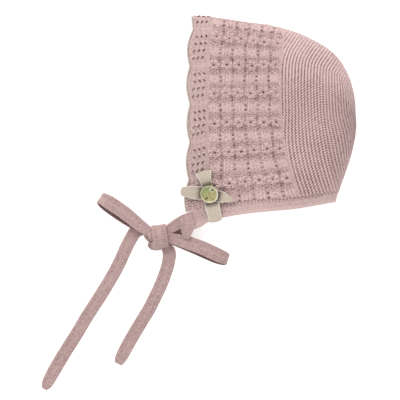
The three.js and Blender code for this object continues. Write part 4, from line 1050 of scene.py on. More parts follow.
# The cord gets painted shade between the picots, where it dips into their shade.
edging = swept(
    "cream_picot_edging", edging_line, edge_out, edge_normal,
    edging_radii, EDGING_SIDES, 0.3 * (1 - picot),
)
CREAM_PALE, CREAM_IN_PAINTED_SHADE = (0.93, 0.87, 0.78), (0.6, 0.47, 0.36)
cream_cord = yarn_finish(
    "cream_picot_cord", CREAM_PALE, CREAM_IN_PAINTED_SHADE, stitch=(0.8, 0.7), legs=0.8, fuzz=0.3
)
dress(edging, cream_cord, "cream_picot", "lace_edging")

# %% [markdown]
# The ties are narrow straps of plain knitting whose edges roll in, as such knitting always does, so a
# strap is thicker at its sides than along its middle. One function lays a strap through a table of
# stations, and it makes the free ends, the loops, the leads, the petal and the wrap of the knot.

# %% A knitted strap
STRAP_AROUND, STRAP_RIB, STRAP_STITCH = 44, 1.65, 1.9


def strap_profile():
    turn = 2 * np.pi * np.arange(STRAP_AROUND) / STRAP_AROUND
    out = np.sign(np.cos(turn)) * np.abs(np.cos(turn)) ** 0.8
    reach = np.abs(out)
    height = 0.84 + 0.16 * bell(reach - 0.76, 0.17)
    height = height * np.sqrt(np.clip(1 - np.clip((reach - 0.8) / 0.2, 0, 1) ** 2, 0, 1))
    return out, np.sign(np.sin(turn)) * height * (np.abs(np.sin(turn)) > 1e-9)


def strap_relief(across_mm, along_mm):
    legs = wave(along_mm / STRAP_STITCH + np.abs(across_mm / STRAP_RIB % 1 - 0.5))
    return 0.06 * wave(across_mm / STRAP_RIB) + 0.12 * legs


def strap(
    name, at_line, across_line, width_line,
    thickness=TIE_THICKNESS, step=0.5, end_round=0.0, inside=0.0,
):
    """Lines are arrays over one fine run of stations; the strap is respaced evenly along them."""
    run = length_so_far(at_line)
    even = np.linspace(0, run[-1], int(run[-1] / step) + 1)

    def respaced(values):
        values = np.asarray(values, float)
        if values.ndim == 1:
            return np.interp(even, run, values)
        return np.stack([np.interp(even, run, values[:, k]) for k in range(values.shape[1])], 1)

    centre, across, width = respaced(at_line), respaced(across_line), respaced(width_line)
    tangent = unit(np.gradient(centre, axis=0))
    side = unit(across - (across * tangent).sum(1, keepdims=True) * tangent)
    face = np.cross(side, tangent)
    out, up = strap_profile()
    thick = np.full(len(even), thickness / 2)
    if end_round:
        into_end = np.clip(1 - (even[-1] - even) / end_round, 0, 1)
        thick = thick * np.sqrt(np.clip(1 - into_end**2, 0.04, 1))
    across_mm = out[None, :] * width[:, None] / 2
    relief = strap_relief(across_mm, even[:, None]) * (np.abs(up) > 0.3)[None, :]
    height = up[None, :] * thick[:, None]
    height = height + np.sign(up)[None, :] * relief * (thick / thickness * 2)[:, None]
    points = centre[:, None] + side[:, None] * across_mm[..., None] + face[:, None] * height[..., None]
    points[..., 2] = np.maximum(points[..., 2], 0)
    # Painted shade: darker in the groove inside each rolled edge and between the ribs, and, for a loop, by
    # inside, on the faces of its two layers that look at each other, in the shade between them.
    groove = bell(np.abs(out)[None, :] - 0.5, 0.2) * (np.abs(up) > 0.3)[None, :]
    painted_shade = np.clip(0.24 + 0.06 * groove - 0.9 * relief + inside * (up > 0.3)[None, :], 0, 1)
    tips = np.array([points[0].mean(0), points[-1].mean(0)])
    where = np.stack([across_mm, even[:, None] + 0 * across_mm], -1).reshape(-1, 2)
    where = np.concatenate([where, [[0, 0], [0, even[-1]]]])
    print(f"{name}: {even[-1]:.0f} mm long, {width.mean():.1f} mm wide")
    return add_object(
        name,
        np.concatenate([points.reshape(-1, 3), tips]),
        tube_faces(*points.shape[:2]),
        where,
        np.concatenate([painted_shade.ravel(), [0.3, 0.3]]),
    )


def read_stations(table, columns, count=400):
    rows = [(number, *row) for number, row in enumerate(table)]
    at = np.linspace(0, len(table) - 1, count)
    return [read_table(rows, at, column + 1) for column in range(columns)]


def direction(heading):
    return np.array([math.cos(math.radians(heading)), math.sin(math.radians(heading))])

# %% [markdown]
# The two free ends lie on the table, each turning out of the knot and down in a long easy curve to a
# narrowed cast-off tip. Their lengths are the ones in the picture.

# %% The free ends
LEFT_TAIL = [  # along, side, lift, width
    (0.02, -0.5, 0.55, 0.7), (0.012, -1.05, 0.55, 0.85), (0.026, -1.45, 0.5, 1),
    (0.056, -1.64, 0.5, 1), (0.105, -1.58, 0.5, 1), (0.164, -1.42, 0.5, 1), (0.24, -1.17, 0.5, 1),
    (0.335, -0.97, 0.5, 1), (0.446, -0.82, 0.5, 1), (0.558, -0.7, 0.5, 1), (0.666, -0.53, 0.5, 1),
    (0.778, -0.4, 0.5, 1), (0.889, -0.22, 0.5, 1), (0.97, -0.04, 0.5, 0.85), (1, 0.02, 0.5, 0.4),
]
RIGHT_TAIL = [
    (0.01, 0.25, 0.55, 0.7), (0.05, 0.75, 0.55, 0.85), (0.09, 1.15, 0.5, 1), (0.15, 1.3, 0.5, 1),
    (0.22, 1.34, 0.5, 1), (0.343, 1.28, 0.5, 1), (0.443, 1.14, 0.5, 1), (0.542, 0.98, 0.5, 1),
    (0.646, 0.72, 0.5, 1), (0.748, 0.48, 0.5, 1), (0.85, 0.26, 0.5, 1), (0.95, 0.08, 0.5, 0.92),
    (1, 0, 0.5, 0.6),
]


def tail(name, table, reach, heading):
    along, side, lift, width = read_stations(table, 4)
    ahead = direction(heading)
    centre = np.stack(
        [
            KNOT[0] + ahead[0] * along * reach - ahead[1] * side * TIE_WIDTH,
            KNOT[1] + ahead[1] * along * reach + ahead[0] * side * TIE_WIDTH,
            lift * TIE_THICKNESS,
        ],
        1,
    )
    tangent = np.gradient(centre, axis=0)
    across = unit(np.cross([0, 0, 1], tangent))
    return strap(name, centre, across, width * TIE_WIDTH, end_round=3.0)


left_tail = tail("left_tie_end", LEFT_TAIL, 152.2, -127)
dress(left_tail, tie_yarn, "rose_tie", "tie_tail_left")
right_tail = tail("right_tie_end", RIGHT_TAIL, 106.6, -107.7)
dress(right_tail, tie_yarn, "rose_tie", "tie_tail_right")

# %% [markdown]
# Each loop of the bow goes out on top and comes back underneath, a little to one side, so its
# inside shows along the lower edge, with painted shade on the inner faces.

# %% The loops of the bow
LEFT_LOOP = [  # along, side, lift, lean, width
    (0.06, 0.05, 0.74, 0, 0.6), (0.3, 0.04, 0.86, 6, 0.92), (0.6, -0.12, 0.92, 6, 1.04),
    (0.86, -0.14, 0.86, 4, 1.05), (0.97, -0.1, 0.68, 2, 0.95), (1, -0.04, 0.48, 0, 0.84),
    (0.97, 0.04, 0.27, 0, 0.95), (0.86, 0.12, 0.14, 0, 1), (0.68, 0.16, 0.18, 0, 1),
    (0.46, 0.16, 0.41, 0, 0.95), (0.24, 0.1, 0.43, 0, 0.8), (0.06, 0.05, 0.43, 0, 0.6),
]
RIGHT_LOOP = [
    (0.06, 0.1, 0.74, 0, 0.6), (0.3, 0.22, 0.8, -6, 0.94), (0.6, 0.2, 0.84, -12, 1.06),
    (0.86, 0.02, 0.8, -10, 1.06), (0.97, -0.04, 0.64, -6, 0.96), (1, -0.1, 0.46, 0, 0.84),
    (0.97, -0.14, 0.27, 0, 0.95), (0.86, -0.16, 0.14, 0, 1), (0.68, -0.06, 0.18, 0, 1),
    (0.46, 0.06, 0.4, 0, 0.95), (0.24, 0.1, 0.43, 0, 0.8), (0.06, 0.05, 0.43, 0, 0.6),
]


def loop(name, table, reach, heading):
    along, side, lift, lean, width = read_stations(table, 5)
    ahead = np.r_[direction(heading), 0]
    beside = np.cross([0, 0, 1], ahead)
    base = np.array([KNOT[0], KNOT[1], 0])
    centre = base + ahead * (along * reach)[:, None] + beside * (side * TIE_WIDTH)[:, None]
    centre[:, 2] = lift * LOOP_HEIGHT
    angle = np.radians(lean)[:, None]
    across = beside * np.cos(angle) + np.cross(ahead, beside) * np.sin(angle)
    # The inner faces of the loop get painted shade.
    return strap(name, centre, across, width * TIE_WIDTH, inside=0.5)


left_loop = loop("left_bow_loop", LEFT_LOOP, 55.2, 146.8)
dress(left_loop, tie_yarn, "rose_tie", "bow_loop_left")
right_loop = loop("right_bow_loop", RIGHT_LOOP, 57.4, -17.2)
dress(right_loop, tie_yarn, "rose_tie", "bow_loop_right")

# %% [markdown]
# A tie grows out of each front end of the neck band. The near one runs down over the corner to the
# knot and folds over itself in a small petal, and the far one comes out flat on the table below.

# %% The leads and the petal fold
NEAR_LEAD = [  # along, side, width, settle
    (0, 0, 1.34, 0), (0.14, 0.1, 1.1, 0.15), (0.34, 0.22, 0.95, 0.4), (0.6, 0.18, 0.8, 0.7),
    (0.85, 0.06, 0.6, 1),
]
FAR_LEAD = [
    (0, 0, 1.28, 0), (0.12, 0, 1.1, 0), (0.3, -0.14, 1, 0), (0.5, -0.26, 0.9, 0),
    (0.7, -0.22, 0.75, 0.1), (0.86, -0.1, 0.6, 0.2),
]
TIE_FOLD = [  # ahead, down, lift, width
    (0.48, -0.1, 0.98, 0.8), (0.45, 0.25, 1.05, 1.04), (0.42, 0.69, 1.1, 1.12),
    (0.46, 1.22, 1.1, 0.84), (0.47, 1.75, 1.06, 0.36),
]


def lead(name, table, column, knot_level):
    top, low = band_base[0, column], band_base[-1, column]
    start = (top + low) / 2
    start[0] = min(top[0], low[0]) - 0.1
    start[2] = max(start[2] - BAND_WALL / 2, TIE_THICKNESS / 2)
    finish = np.array([KNOT[0], KNOT[1], knot_level])
    way = finish - start
    side = unit(np.cross([0, 0, 1], way))
    along, sideways, width, settle = read_stations(table, 4)
    centre = start + np.outer(along, [way[0], way[1], 0]) - np.outer(sideways * TIE_WIDTH, side)
    centre[:, 2] = mix(start[2], finish[2], settle)
    straight = start - np.outer(along * np.hypot(way[0], way[1]), [1, 0, 0])
    centre = mix(straight, centre, smooth(along / 0.35)[:, None])
    at_band = unit(top - low)
    turned = np.minimum(along * 3, 1)[:, None]
    across = at_band * (1 - turned) - side * turned
    return strap(name, centre, across, width * TIE_WIDTH)


near_lead = lead("near_tie_lead", NEAR_LEAD, 0, KNOT_HEIGHT * 0.55)
far_lead = lead("far_tie_lead", FAR_LEAD, -1, TIE_THICKNESS / 2)
dress(far_lead, tie_yarn, "rose_tie", "tie_lead_far")
fold_start = mix(band_base[0, 0], band_base[-1, 0], 0.3)
ahead_of, down_from, fold_lift, fold_width = read_stations(TIE_FOLD, 4)
fold_centre = np.stack(
    [
        fold_start[0] - ahead_of * TIE_WIDTH,
        fold_start[1] - down_from * TIE_WIDTH,
        fold_lift * LOOP_HEIGHT,
    ],
    1,
)
fold_across = np.tile([1.0, 0, 0], (len(fold_centre), 1))
petal = strap(
    "petal_fold", fold_centre, fold_across, fold_width * TIE_WIDTH, step=0.4, end_round=2.0
)
dress(near_lead, tie_yarn, "rose_tie", "tie_lead_near")
dress(petal, tie_yarn, "rose_tie", "tie_lead_near")

# %% [markdown]
# The knot is a band of the tie wrapped once round the crossing, with the ends' folds bulging out at
# its left and below. The wrap is a strap over a half ring, and the folds are soft lumps with the same
# ribs running through them.

# %% The knot
KNOT_LUMPS = [  # across, along, width, length, height, turn
    (0.1, 0.02, 0.9, 0.84, 0.86, 8), (-0.5, 0.08, 0.85, 0.66, 0.76, 30),
    (-0.15, -0.36, 1.1, 0.46, 0.66, 0),
]
LUMP_ROWS, LUMP_COLUMNS, LUMP_CLEARANCE = 48, 72, 0.02


def knot_lump(name, lump):
    across, along, width, length, height, turn = lump
    polar = np.linspace(0, np.pi, LUMP_ROWS + 1)[:, None]
    around = np.linspace(0, 2 * np.pi, LUMP_COLUMNS + 1)[None, :]
    half = np.array([width * KNOT_WIDTH, length * KNOT_LENGTH, height * KNOT_HEIGHT]) / 2
    ball = [np.sin(polar) * np.cos(around), np.cos(polar), np.sin(polar) * np.sin(around)]
    ball = np.stack(np.broadcast_arrays(*ball), -1)
    across_mm = around * half[0] + 0 * polar
    along_mm = polar / np.pi * 2 * half[1] + 0 * around
    ribs = strap_relief(across_mm, along_mm)
    crease = 0.5 * bell(np.sin(around + 0.6) - 0.1, 0.25) * np.sin(polar)
    points = ball * (half + (ribs - crease)[..., None])
    angle = math.radians(turn)
    spin = np.array([[math.cos(angle), -math.sin(angle)], [math.sin(angle), math.cos(angle)]])
    points[..., :2] = points[..., :2] @ spin.T
    points += [KNOT[0] + across * KNOT_WIDTH, KNOT[1] + along * KNOT_LENGTH, half[2]]
    points[..., 2] = np.maximum(points[..., 2], LUMP_CLEARANCE)
    where = np.stack([across_mm, along_mm], -1).reshape(-1, 2)
    # Painted shade: darker between the ribs and in the crease, where shade falls.
    painted_shade = np.clip(0.2 - 0.9 * ribs + 0.9 * crease, 0, 1).ravel()
    return add_object(name, points.reshape(-1, 3), [globe_faces(points.shape[:2])], where, painted_shade)


for number, lump in enumerate(KNOT_LUMPS):
    knot_part = knot_lump(f"knot_fold_{number + 1}", lump)
    dress(knot_part, tie_yarn, "rose_tie", "bow_knot")

# %% The wrap of the knot
wrap_turn = np.linspace(math.radians(-25), math.radians(205), 300)
wrap_tilt = math.radians(8)
wrap_x = KNOT[0] + 0.1 * KNOT_WIDTH
wrap_y = KNOT[1] + 0.02 * KNOT_LENGTH
wrap_reach = KNOT_LENGTH / 2 * 0.9 * np.cos(wrap_turn)
wrap_line = np.stack(
    [
        wrap_x - np.sin(wrap_tilt) * wrap_reach,
        wrap_y + np.cos(wrap_tilt) * wrap_reach,
        KNOT_HEIGHT * 0.42 + (KNOT_HEIGHT * 0.58 - 1.0) * np.sin(wrap_turn),
    ],
    1,
)
wrap_across = np.tile([math.cos(wrap_tilt), math.sin(wrap_tilt), 0], (len(wrap_line), 1))
wrap_width = np.full(len(wrap_line), KNOT_WIDTH * 0.98)
wrap = strap("knot_wrap", wrap_line, wrap_across, wrap_width, thickness=2.2, step=0.4)
dress(wrap, tie_yarn, "rose_tie", "bow_knot")

# %% [markdown]
# A short length of beige ribbon is folded into four lobes under the button. Each lobe goes out over
# the stitches and comes back over itself. The cut edges are painted paler than the face, a painted
# highlight where light catches them, and the lower layer and the cloth at the button's edge get
# painted shade.

# %% The ribbon
BUTTON_X = float(face_x(BUTTON_UP)) + BUTTON_BACK
RIBBON_LOBES = [  # heading, length, root, middle, end, rounding of the end in mm
    (106, 1.86, 0.6, 0.86, 1.28, 0.8), (175, 2.3, 0.95, 1.1, 0.86, 3.2), (-15, 2.14, 1.0, 0.92, 0.12, 0.4),
    (-77, 2.26, 1.05, 1.18, 1.08, 1.4),
]


def ribbon_base(x, y):
    return upper_height(x, y) + STAR_RELIEF + 0.6


def ribbon_lobe(name, lobe, steps=26, across_steps=14):
    heading, length, root, widest, end, rounding = lobe
    ahead = direction(heading)
    length = length * RIBBON_WIDTH
    share = 1 - np.abs(1 - np.arange(2 * steps + 1) / steps)
    upper = np.arange(2 * steps + 1) > steps
    along = length * np.sin(share * np.pi / 2)
    reached = along / length
    width = np.where(
        reached < 0.5,
        mix(root, widest, smooth(reached * 2)),
        mix(widest, end, reached * 2 - 1),
    ) * RIBBON_WIDTH
    beyond = np.maximum(along - BUTTON_DIAMETER / 2, 0) / (length - BUTTON_DIAMETER / 2)
    lift = np.where(upper, 1.6 * RIBBON_THICKNESS + np.sin(np.pi * beyond), 0.5 * RIBBON_THICKNESS)
    turn_back = bell(share - 1, 0.08)
    lift = mix(lift, 1.05 * RIBBON_THICKNESS, turn_back)
    around = 2 * np.pi * np.arange(2 * across_steps) / (2 * across_steps)
    out = np.sign(np.cos(around)) * np.abs(np.cos(around)) ** 0.7
    thick = np.sign(np.sin(around)) * np.clip((1 - np.abs(out)) * 9, 0, 1) ** 0.5 * RIBBON_THICKNESS * 0.36
    rounded = along[:, None] - rounding * (out[None] ** 4) * smooth(reached * 2.5 - 1.5)[:, None]
    x = BUTTON_X + ahead[0] * rounded - ahead[1] * out[None] * width[:, None] / 2
    y = BUTTON_UP + ahead[1] * rounded + ahead[0] * out[None] * width[:, None] / 2
    pleat = 0.3 * np.cos(2.2 * np.pi * out)[None, :] * (1 - share)[:, None] * upper[:, None]
    base = ribbon_base(x, y)
    flip = np.where(upper, -1.0, 1.0)
    past = np.exp(-((np.arange(2 * steps + 1) - steps) / 1.2) ** 2)
    z = base + lift[:, None] + pleat + flip[:, None] * thick[None, :] * (1 - past)[:, None]
    x = x - ahead[0] * past[:, None] * thick[None, :]
    y = y - ahead[1] * past[:, None] * thick[None, :]
    points = np.stack([x, y, z], -1)
    tips = np.array([points[0].mean(0), points[-1].mean(0)])
    where = np.stack([out[None] * width[:, None] / 2, along[:, None] + 0 * x], -1).reshape(-1, 2)
    where = np.concatenate([where, [[0, 0], [0, 0]]])
    # The cut edges are marked for a painted highlight, where light catches them.
    pale = np.concatenate([(bell(np.abs(out) - 1, 0.1)[None, :] + 0 * x).ravel(), [0, 0]])
    # Painted shade: the lower layer is drawn darker, and so is the cloth at the button's edge, in the shade
    # under the button.
    inner = np.where(upper, 0.06, 0.4)
    deep = np.clip(inner + 0.75 * bell(along - BUTTON_DIAMETER / 2, 2.2), 0, 1)
    painted_shade = np.concatenate([(deep[:, None] + 0 * x).ravel(), [0.5, 0.5]])
    everything = np.concatenate([points.reshape(-1, 3), tips])
    return add_object(name, everything, tube_faces(*x.shape), where, painted_shade, pale)

# %% The ribbon's finish and its four lobes
# The ribbon's colour, its colour at full painted shade, and the painted highlight on its edges.
RIBBON_PALE, RIBBON_IN_PAINTED_SHADE, PAINTED_EDGE_HIGHLIGHT = (0.68, 0.58, 0.47), (0.2, 0.15, 0.11), (0.84, 0.78, 0.7, 1)
WEAVE_PITCH = 0.45


def ribbon_finish():
    material, tree, surface = new_finish("beige_ribbon_cloth")
    turn = 2 * math.pi / WEAVE_PITCH
    warp, weft = [calculate(tree, p, ("MULTIPLY", turn), ("SINE",)) for p in stitch_place(tree)]
    weave = calculate(tree, weft, ("MULTIPLY", warp))
    grain = noise(tree, object_place(tree), 1300, 4)
    shade = calculate(tree, grain, ("MULTIPLY", 0.5), ("ADD", attribute(tree, "painted_shade")))
    cloth = colours(tree, shade, [(0.12, RIBBON_PALE), (1, RIBBON_IN_PAINTED_SHADE)])
    height = calculate(tree, weave, ("ADD", grain))
    feed(tree, surface, {
        "Base Color": blend(tree, attribute(tree, "pale"), cloth, PAINTED_EDGE_HIGHLIGHT),
        "Normal": bump(tree, height, 0.5, BUMP_DEPTH / 2),
        "Roughness": calculate(tree, grain, ("MULTIPLY", 0.3), ("ADD", 0.6)),
        "Sheen Weight": 0.1,
    })
    return material


ribbon_cloth = ribbon_finish()
ribbon_parts = []
for number, lobe in enumerate(RIBBON_LOBES):
    part = ribbon_lobe(f"ribbon_lobe_{number + 1}", lobe)
    dress(part, ribbon_cloth, "beige_ribbon", "ribbon_bow")
    ribbon_parts.append(part)

# %% [markdown]
# The button is turned from shell: a shallow dish with a raised rim and two holes. Shell has layers,
# so its colour runs in slanting streaks from green to olive gold, with a cream rim where the outer
# layer is left, painted brightest on the side where the rim faces the light as a painted highlight.
# The holes are cut with a boolean, since they have to be round and go right through.

# %% The button
def seat_of_button():
    step = 1.0
    slope_x = (upper_height(BUTTON_X + step, BUTTON_UP) - upper_height(BUTTON_X - step, BUTTON_UP)) / 2
    slope_y = (upper_height(BUTTON_X, BUTTON_UP + step) - upper_height(BUTTON_X, BUTTON_UP - step)) / 2
    turn = 2 * np.pi * np.arange(24) / 24
    x = np.cos(turn) * BUTTON_DIAMETER / 2
    y = np.sin(turn) * BUTTON_DIAMETER / 2
    rim = ribbon_base(BUTTON_X + x, BUTTON_UP + y) - slope_x * x - slope_y * y
    highest = max(rim.max(), float(ribbon_base(BUTTON_X, BUTTON_UP)))
    level = highest + RIBBON_THICKNESS * 2.2 + 0.6 + 1.2
    normal = Vector((-float(slope_x), -float(slope_y), step)).normalized()
    tilt = Vector((0, 0, 1)).rotation_difference(normal)
    return Vector((BUTTON_X, BUTTON_UP, level)), tilt


button_at, button_tilt = seat_of_button()
print("the button sits at", [round(v, 1) for v in button_at], "mm")

# %% The button's shape
HOLE_TURN, HOLE_SPACING, HOLE_WIDTH = math.radians(58), 8.2, 1.9
BUTTON_PROFILE = [  # radius, height
    (0, 0), (5.2, 0), (6.3, 0.12), (6.9, 0.42), (7.15, 0.85), (7.2, 1.3), (7.14, 1.75), (6.96, 2.06),
    (6.7, 2.2), (6.4, 2.16), (6.1, 1.98), (5.8, 1.72), (5.4, 1.55), (4.6, 1.42), (3.4, 1.34),
    (1.8, 1.3), (0, 1.28),
]
CUTTER_PROFILE = [(0, -1), (1, -1), (1, 4), (0, 4)]


def lathe(profile, count):
    turn = 2 * np.pi * np.arange(count + 1) / count
    radius = np.array([row[0] for row in profile])[:, None]
    height = np.array([row[1] for row in profile])[:, None]
    points = np.stack(np.broadcast_arrays(radius * np.cos(turn), radius * np.sin(turn), height), -1)
    return points.reshape(-1, 3), globe_faces(points.shape[:2])


def plain_object(name, points, faces):
    mesh = bpy.data.meshes.new(name)
    kept = [[c for k, c in enumerate(face) if c not in face[:k]] for face in faces.tolist()]
    mesh.from_pydata(points.tolist(), [], kept)
    mesh.update()
    mesh.shade_smooth()
    piece = bpy.data.objects.new(name, mesh)
    bpy.context.collection.objects.link(piece)
    return piece


button = plain_object("shell_button", *lathe(BUTTON_PROFILE, 96))
for way in (1, -1):
    hole = plain_object("hole_cutter", *lathe(CUTTER_PROFILE, 24))
    place = Vector((math.cos(HOLE_TURN), math.sin(HOLE_TURN), 0)) * way * HOLE_SPACING / 2
    hole.data.transform(Matrix.Translation(place) @ Matrix.Diagonal((HOLE_WIDTH / 2, HOLE_WIDTH / 2, 1, 1)))
    cut = button.modifiers.new("cut", "BOOLEAN")
    cut.object = hole
    cut.operation = "DIFFERENCE"
    cut.solver = "EXACT"
    bpy.context.view_layer.update()
    shape = bpy.data.meshes.new_from_object(button.evaluated_get(bpy.context.evaluated_depsgraph_get()))
    button.modifiers.clear()
    button.data = shape
    bpy.data.objects.remove(hole)
print("button with its holes:", len(button.data.vertices), "points")

# %% Numbers for the shell's colour
corners = np.empty(len(button.data.vertices) * 3)
button.data.vertices.foreach_get("co", corners)
corners = corners.reshape(-1, 3)
from_centre = np.hypot(corners[:, 0], corners[:, 1])
# toward_light paints the cream rim brighter where it faces the light, a painted highlight; a cream crescent
# is also added beside the upper hole.
toward_light = np.clip(0.75 - 0.45 * (corners[:, 1] - corners[:, 0]) / from_centre.clip(1), 0.25, 1)
RIM_AT, RIM_SPREAD, CRESCENT_AT, CRESCENT_SPREAD = 6.75, 0.42, 1.35, 0.4
cream_rim_and_painted_highlight = bell(from_centre - RIM_AT, RIM_SPREAD) * (corners[:, 2] > 1.5) * toward_light
upper_hole = np.array([math.cos(HOLE_TURN), math.sin(HOLE_TURN)]) * HOLE_SPACING / 2
round_hole = np.hypot(*(corners[:, :2] - upper_hole).T)
crescent = bell(round_hole - CRESCENT_AT, CRESCENT_SPREAD) * (corners[:, 0] < upper_hole[0] + 0.6)
streak_across = corners[:, 0] * 0.78 + corners[:, 1] * 0.62
streak_along = corners[:, 1] * 0.78 - corners[:, 0] * 0.62
for label, values in (
    ("rim", np.clip(cream_rim_and_painted_highlight + crescent, 0, 1)),
    ("green", smooth((streak_along + 3.5) / 8)),
    ("across", streak_across),
    ("along", streak_along),
):
    button.data.attributes.new(label, "FLOAT", "POINT").data.foreach_set("value", values)
print("points in the cream rim:", int((cream_rim_and_painted_highlight > 0.5).sum()))

# %% The button in its place
placed = Matrix.Translation(button_at + Vector(PLACE)) @ button_tilt.to_matrix().to_4x4()
button.data.transform(Matrix.Scale(0.001, 4) @ placed)
button.data.name = "shell_button"
for polygon in button.data.polygons:
    polygon.use_smooth = True
button.data.set_sharp_from_angle(angle=math.radians(40))
print("button faces:", len(button.data.polygons))

# %% [markdown]
# Shell is glossy with a thin clear depth, so it gets a coat over a soft base. The streaks are noise
# stretched along the layers, and its colour goes from green at one side to olive gold at the other.

# %% The shell's finish
SHELL_GOLD = [
    (0.3, (0.15, 0.12, 0.03)), (0.45, (0.34, 0.29, 0.1)),
    (0.56, (0.52, 0.46, 0.22)), (0.66, (0.24, 0.2, 0.06)),
]
SHELL_GREEN = [
    (0.3, (0.1, 0.13, 0.04)), (0.45, (0.24, 0.27, 0.1)),
    (0.57, (0.4, 0.42, 0.18)), (0.68, (0.2, 0.23, 0.08)),
]
SHELL_RIM = (0.88, 0.84, 0.7, 1)


def shell_finish():
    material, tree, surface = new_finish("green_gold_shell")
    across = calculate(tree, attribute(tree, "across"), ("MULTIPLY", 1.5))
    along = calculate(tree, attribute(tree, "along"), ("MULTIPLY", 0.3))
    place = add_node(tree, "CombineXYZ", {0: across, 1: along})
    streaks = noise(tree, place.outputs[0], 1.0, 5, 0.4)
    gold, green = [colours(tree, streaks, stops) for stops in (SHELL_GOLD, SHELL_GREEN)]
    body = blend(tree, attribute(tree, "green"), gold, green)
    feed(tree, surface, {
        "Base Color": blend(tree, attribute(tree, "rim"), body, SHELL_RIM),
        "Normal": bump(tree, streaks, 0.15),
        "Roughness": between(tree, streaks, 0.18, 0.34),
        "Coat Weight": 0.35,
        "Coat Roughness": 0.12,
    })
    return material


button.data.materials.clear()
dress(button, shell_finish(), "shell", "button")

# %% [markdown]
# The sewing thread that holds the button is the frame's own solid: a bar below and an end in each
# hole. Its shape is right as it is, so it only gets the finish of twisted thread.

# %% The thread
def thread_finish():
    material, tree, surface = new_finish("dark_sewing_thread")
    twist = add_node(tree, "TexWave", {"Vector": object_place(tree), "Scale": 700, "Distortion": 1.5})
    twist.bands_direction = "DIAGONAL"
    strand = twist.outputs["Fac"]
    feed(tree, surface, {
        "Base Color": colours(tree, strand, [(0, (0.05, 0.035, 0.03)), (1, (0.16, 0.12, 0.09))]),
        "Normal": bump(tree, strand, 0.6),
        "Roughness": 0.8,
    })
    return material


thread = bpy.data.objects["button_thread"]
thread.data.materials.clear()
thread.data.materials.append(thread_finish())
for kept_slot in thread.material_slots:
    kept_slot.material = thread.data.materials[0]

# %% [markdown]
# Each cloth is listed with the size it was worked to. The panels and the border are not
# rectangles, so their true flat areas go with them. The straps are as long as they are laid out.

# %% What is cloth, and how large it is
floor_name, TIE_FLAT = "table_top", 0.0115
CLOTHS = [  # piece, flat width and length in metres, how it is held, what it rests on, true flat area
    (front, (0.064, 0.305), "folded", [floor_name], 0.0185),
    (crown, (0.07, 0.3), "folded", [floor_name], 0.0146),
    (band, (0.0112, 0.236), "folded", [floor_name], 0.00246),
    (lace, (0.0165, 0.302), "folded", [floor_name], 0.0042),
    (left_tail, (TIE_FLAT, 0.161), "laid", [floor_name], None),
    (right_tail, (TIE_FLAT, 0.111), "laid", [floor_name], None),
    (left_loop, (TIE_FLAT, 0.108), "folded", [floor_name], None),
    (right_loop, (TIE_FLAT, 0.111), "folded", [floor_name], None),
    (near_lead, (TIE_FLAT, 0.027), "laid", [band], None),
    (far_lead, (TIE_FLAT, 0.027), "laid", [floor_name], None),
    (petal, (TIE_FLAT, 0.02), "folded", [near_lead], None),
    (wrap, (0.0135, 0.03), "folded", ["knot_fold_1"], None),
    (ribbon_parts[0], (0.0125, 0.036), "folded", [front], None),
    (ribbon_parts[1], (0.0125, 0.045), "folded", [front], None),
    (ribbon_parts[2], (0.0125, 0.042), "folded", [front], 0.0004),
    (ribbon_parts[3], (0.0125, 0.044), "folded", [front], None),
]
for piece, flat, held, under, area in CLOTHS:
    print(f"{piece.name}: {flat[0] * 1000:.0f} by {flat[1] * 1000:.0f} mm, {held}")

# %% [markdown]
# The picture is taken from straight above, on white, in soft even light. A long lens keeps the raised
# crown from looking larger than the ties on the table. The light is a bright dome with one large soft
# lamp from the top of the picture, which puts the small shadows under the stars.

# %% The floor
def floor_finish():
    material, tree, surface = new_finish("pale_table_top")
    cloud = noise(tree, object_place(tree), 3, 2)
    feed(tree, surface, {
        "Base Color": colours(tree, cloud, [(0, (0.9, 0.9, 0.9)), (1, (0.93, 0.93, 0.93))]),
        "Roughness": 0.9,
        "Specular IOR Level": 0.1,
        "Emission Color": (1, 1, 1, 1),
        "Emission Strength": 0.5,
    })
    return material


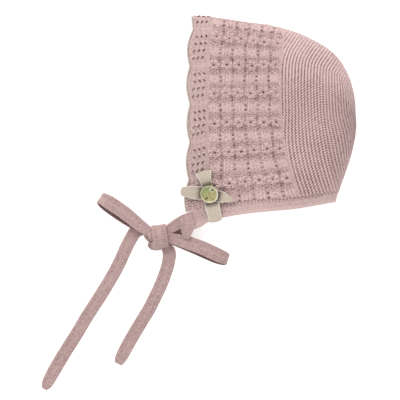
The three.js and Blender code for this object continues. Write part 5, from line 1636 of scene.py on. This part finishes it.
FLOOR_REACH = 4.0
floor_points = np.array([(-1, -1, 0), (1, -1, 0), (1, 1, 0), (-1, 1, 0)]) * FLOOR_REACH
floor = plain_object("table_top", floor_points, np.array([[0, 1, 2, 3]]))
floor.data.materials.append(floor_finish())
floor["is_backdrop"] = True
print("floor:", 2 * FLOOR_REACH, "m wide")

# %% The light
DOME_STRENGTH = 0.88
LAMP_PLACE, LAMP_SIZE, LAMP_WATTS = (-0.5, 1.3, 1.5), 0.7, 15
world = bpy.data.worlds.new("soft_dome")
bpy.context.scene.world = world
world.use_nodes = True
world.node_tree.nodes["Background"].inputs["Color"].default_value = (1.0, 1.0, 1.0, 1)
world.node_tree.nodes["Background"].inputs["Strength"].default_value = DOME_STRENGTH


def soft_lamp(name, place, size, watts):
    lamp = bpy.data.lights.new(name, "AREA")
    lamp.shape = "DISK"
    lamp.size = size
    lamp.energy = watts
    holder = bpy.data.objects.new(name, lamp)
    holder.location = place
    holder.rotation_mode = "QUATERNION"
    holder.rotation_quaternion = (-Vector(place)).to_track_quat("-Z", "Y")
    bpy.context.collection.objects.link(holder)
    return holder


soft_lamp("window_lamp", LAMP_PLACE, LAMP_SIZE, LAMP_WATTS)
print("light:", LAMP_WATTS, "watts and a dome of", DOME_STRENGTH)

# %% The camera
PIXEL, FRAME_PIXELS, AIM = 0.0008, 400, (0.0006, 0.0021)
LENS, SENSOR = 500, 36
camera_data = bpy.data.cameras.new("camera")
camera_data.lens = LENS
camera_data.sensor_width = SENSOR
camera_data.clip_end = 50
camera = bpy.data.objects.new("camera", camera_data)
camera.location = (*AIM, FRAME_PIXELS * PIXEL * LENS / SENSOR)
bpy.context.collection.objects.link(camera)
bpy.context.scene.camera = camera
bpy.context.scene.view_settings.view_transform = "Standard"
print("camera:", round(camera.location.z, 2), "m up")

# %% Sizes and the end
visual_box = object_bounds()
boxes = [[list(corner) for corner in cad_box], [list(corner) for corner in visual_box]]
for name, pair in zip(("frame", "visual"), boxes):
    print(name, [[round(v * 1000, 1) for v in corner] for corner in pair])
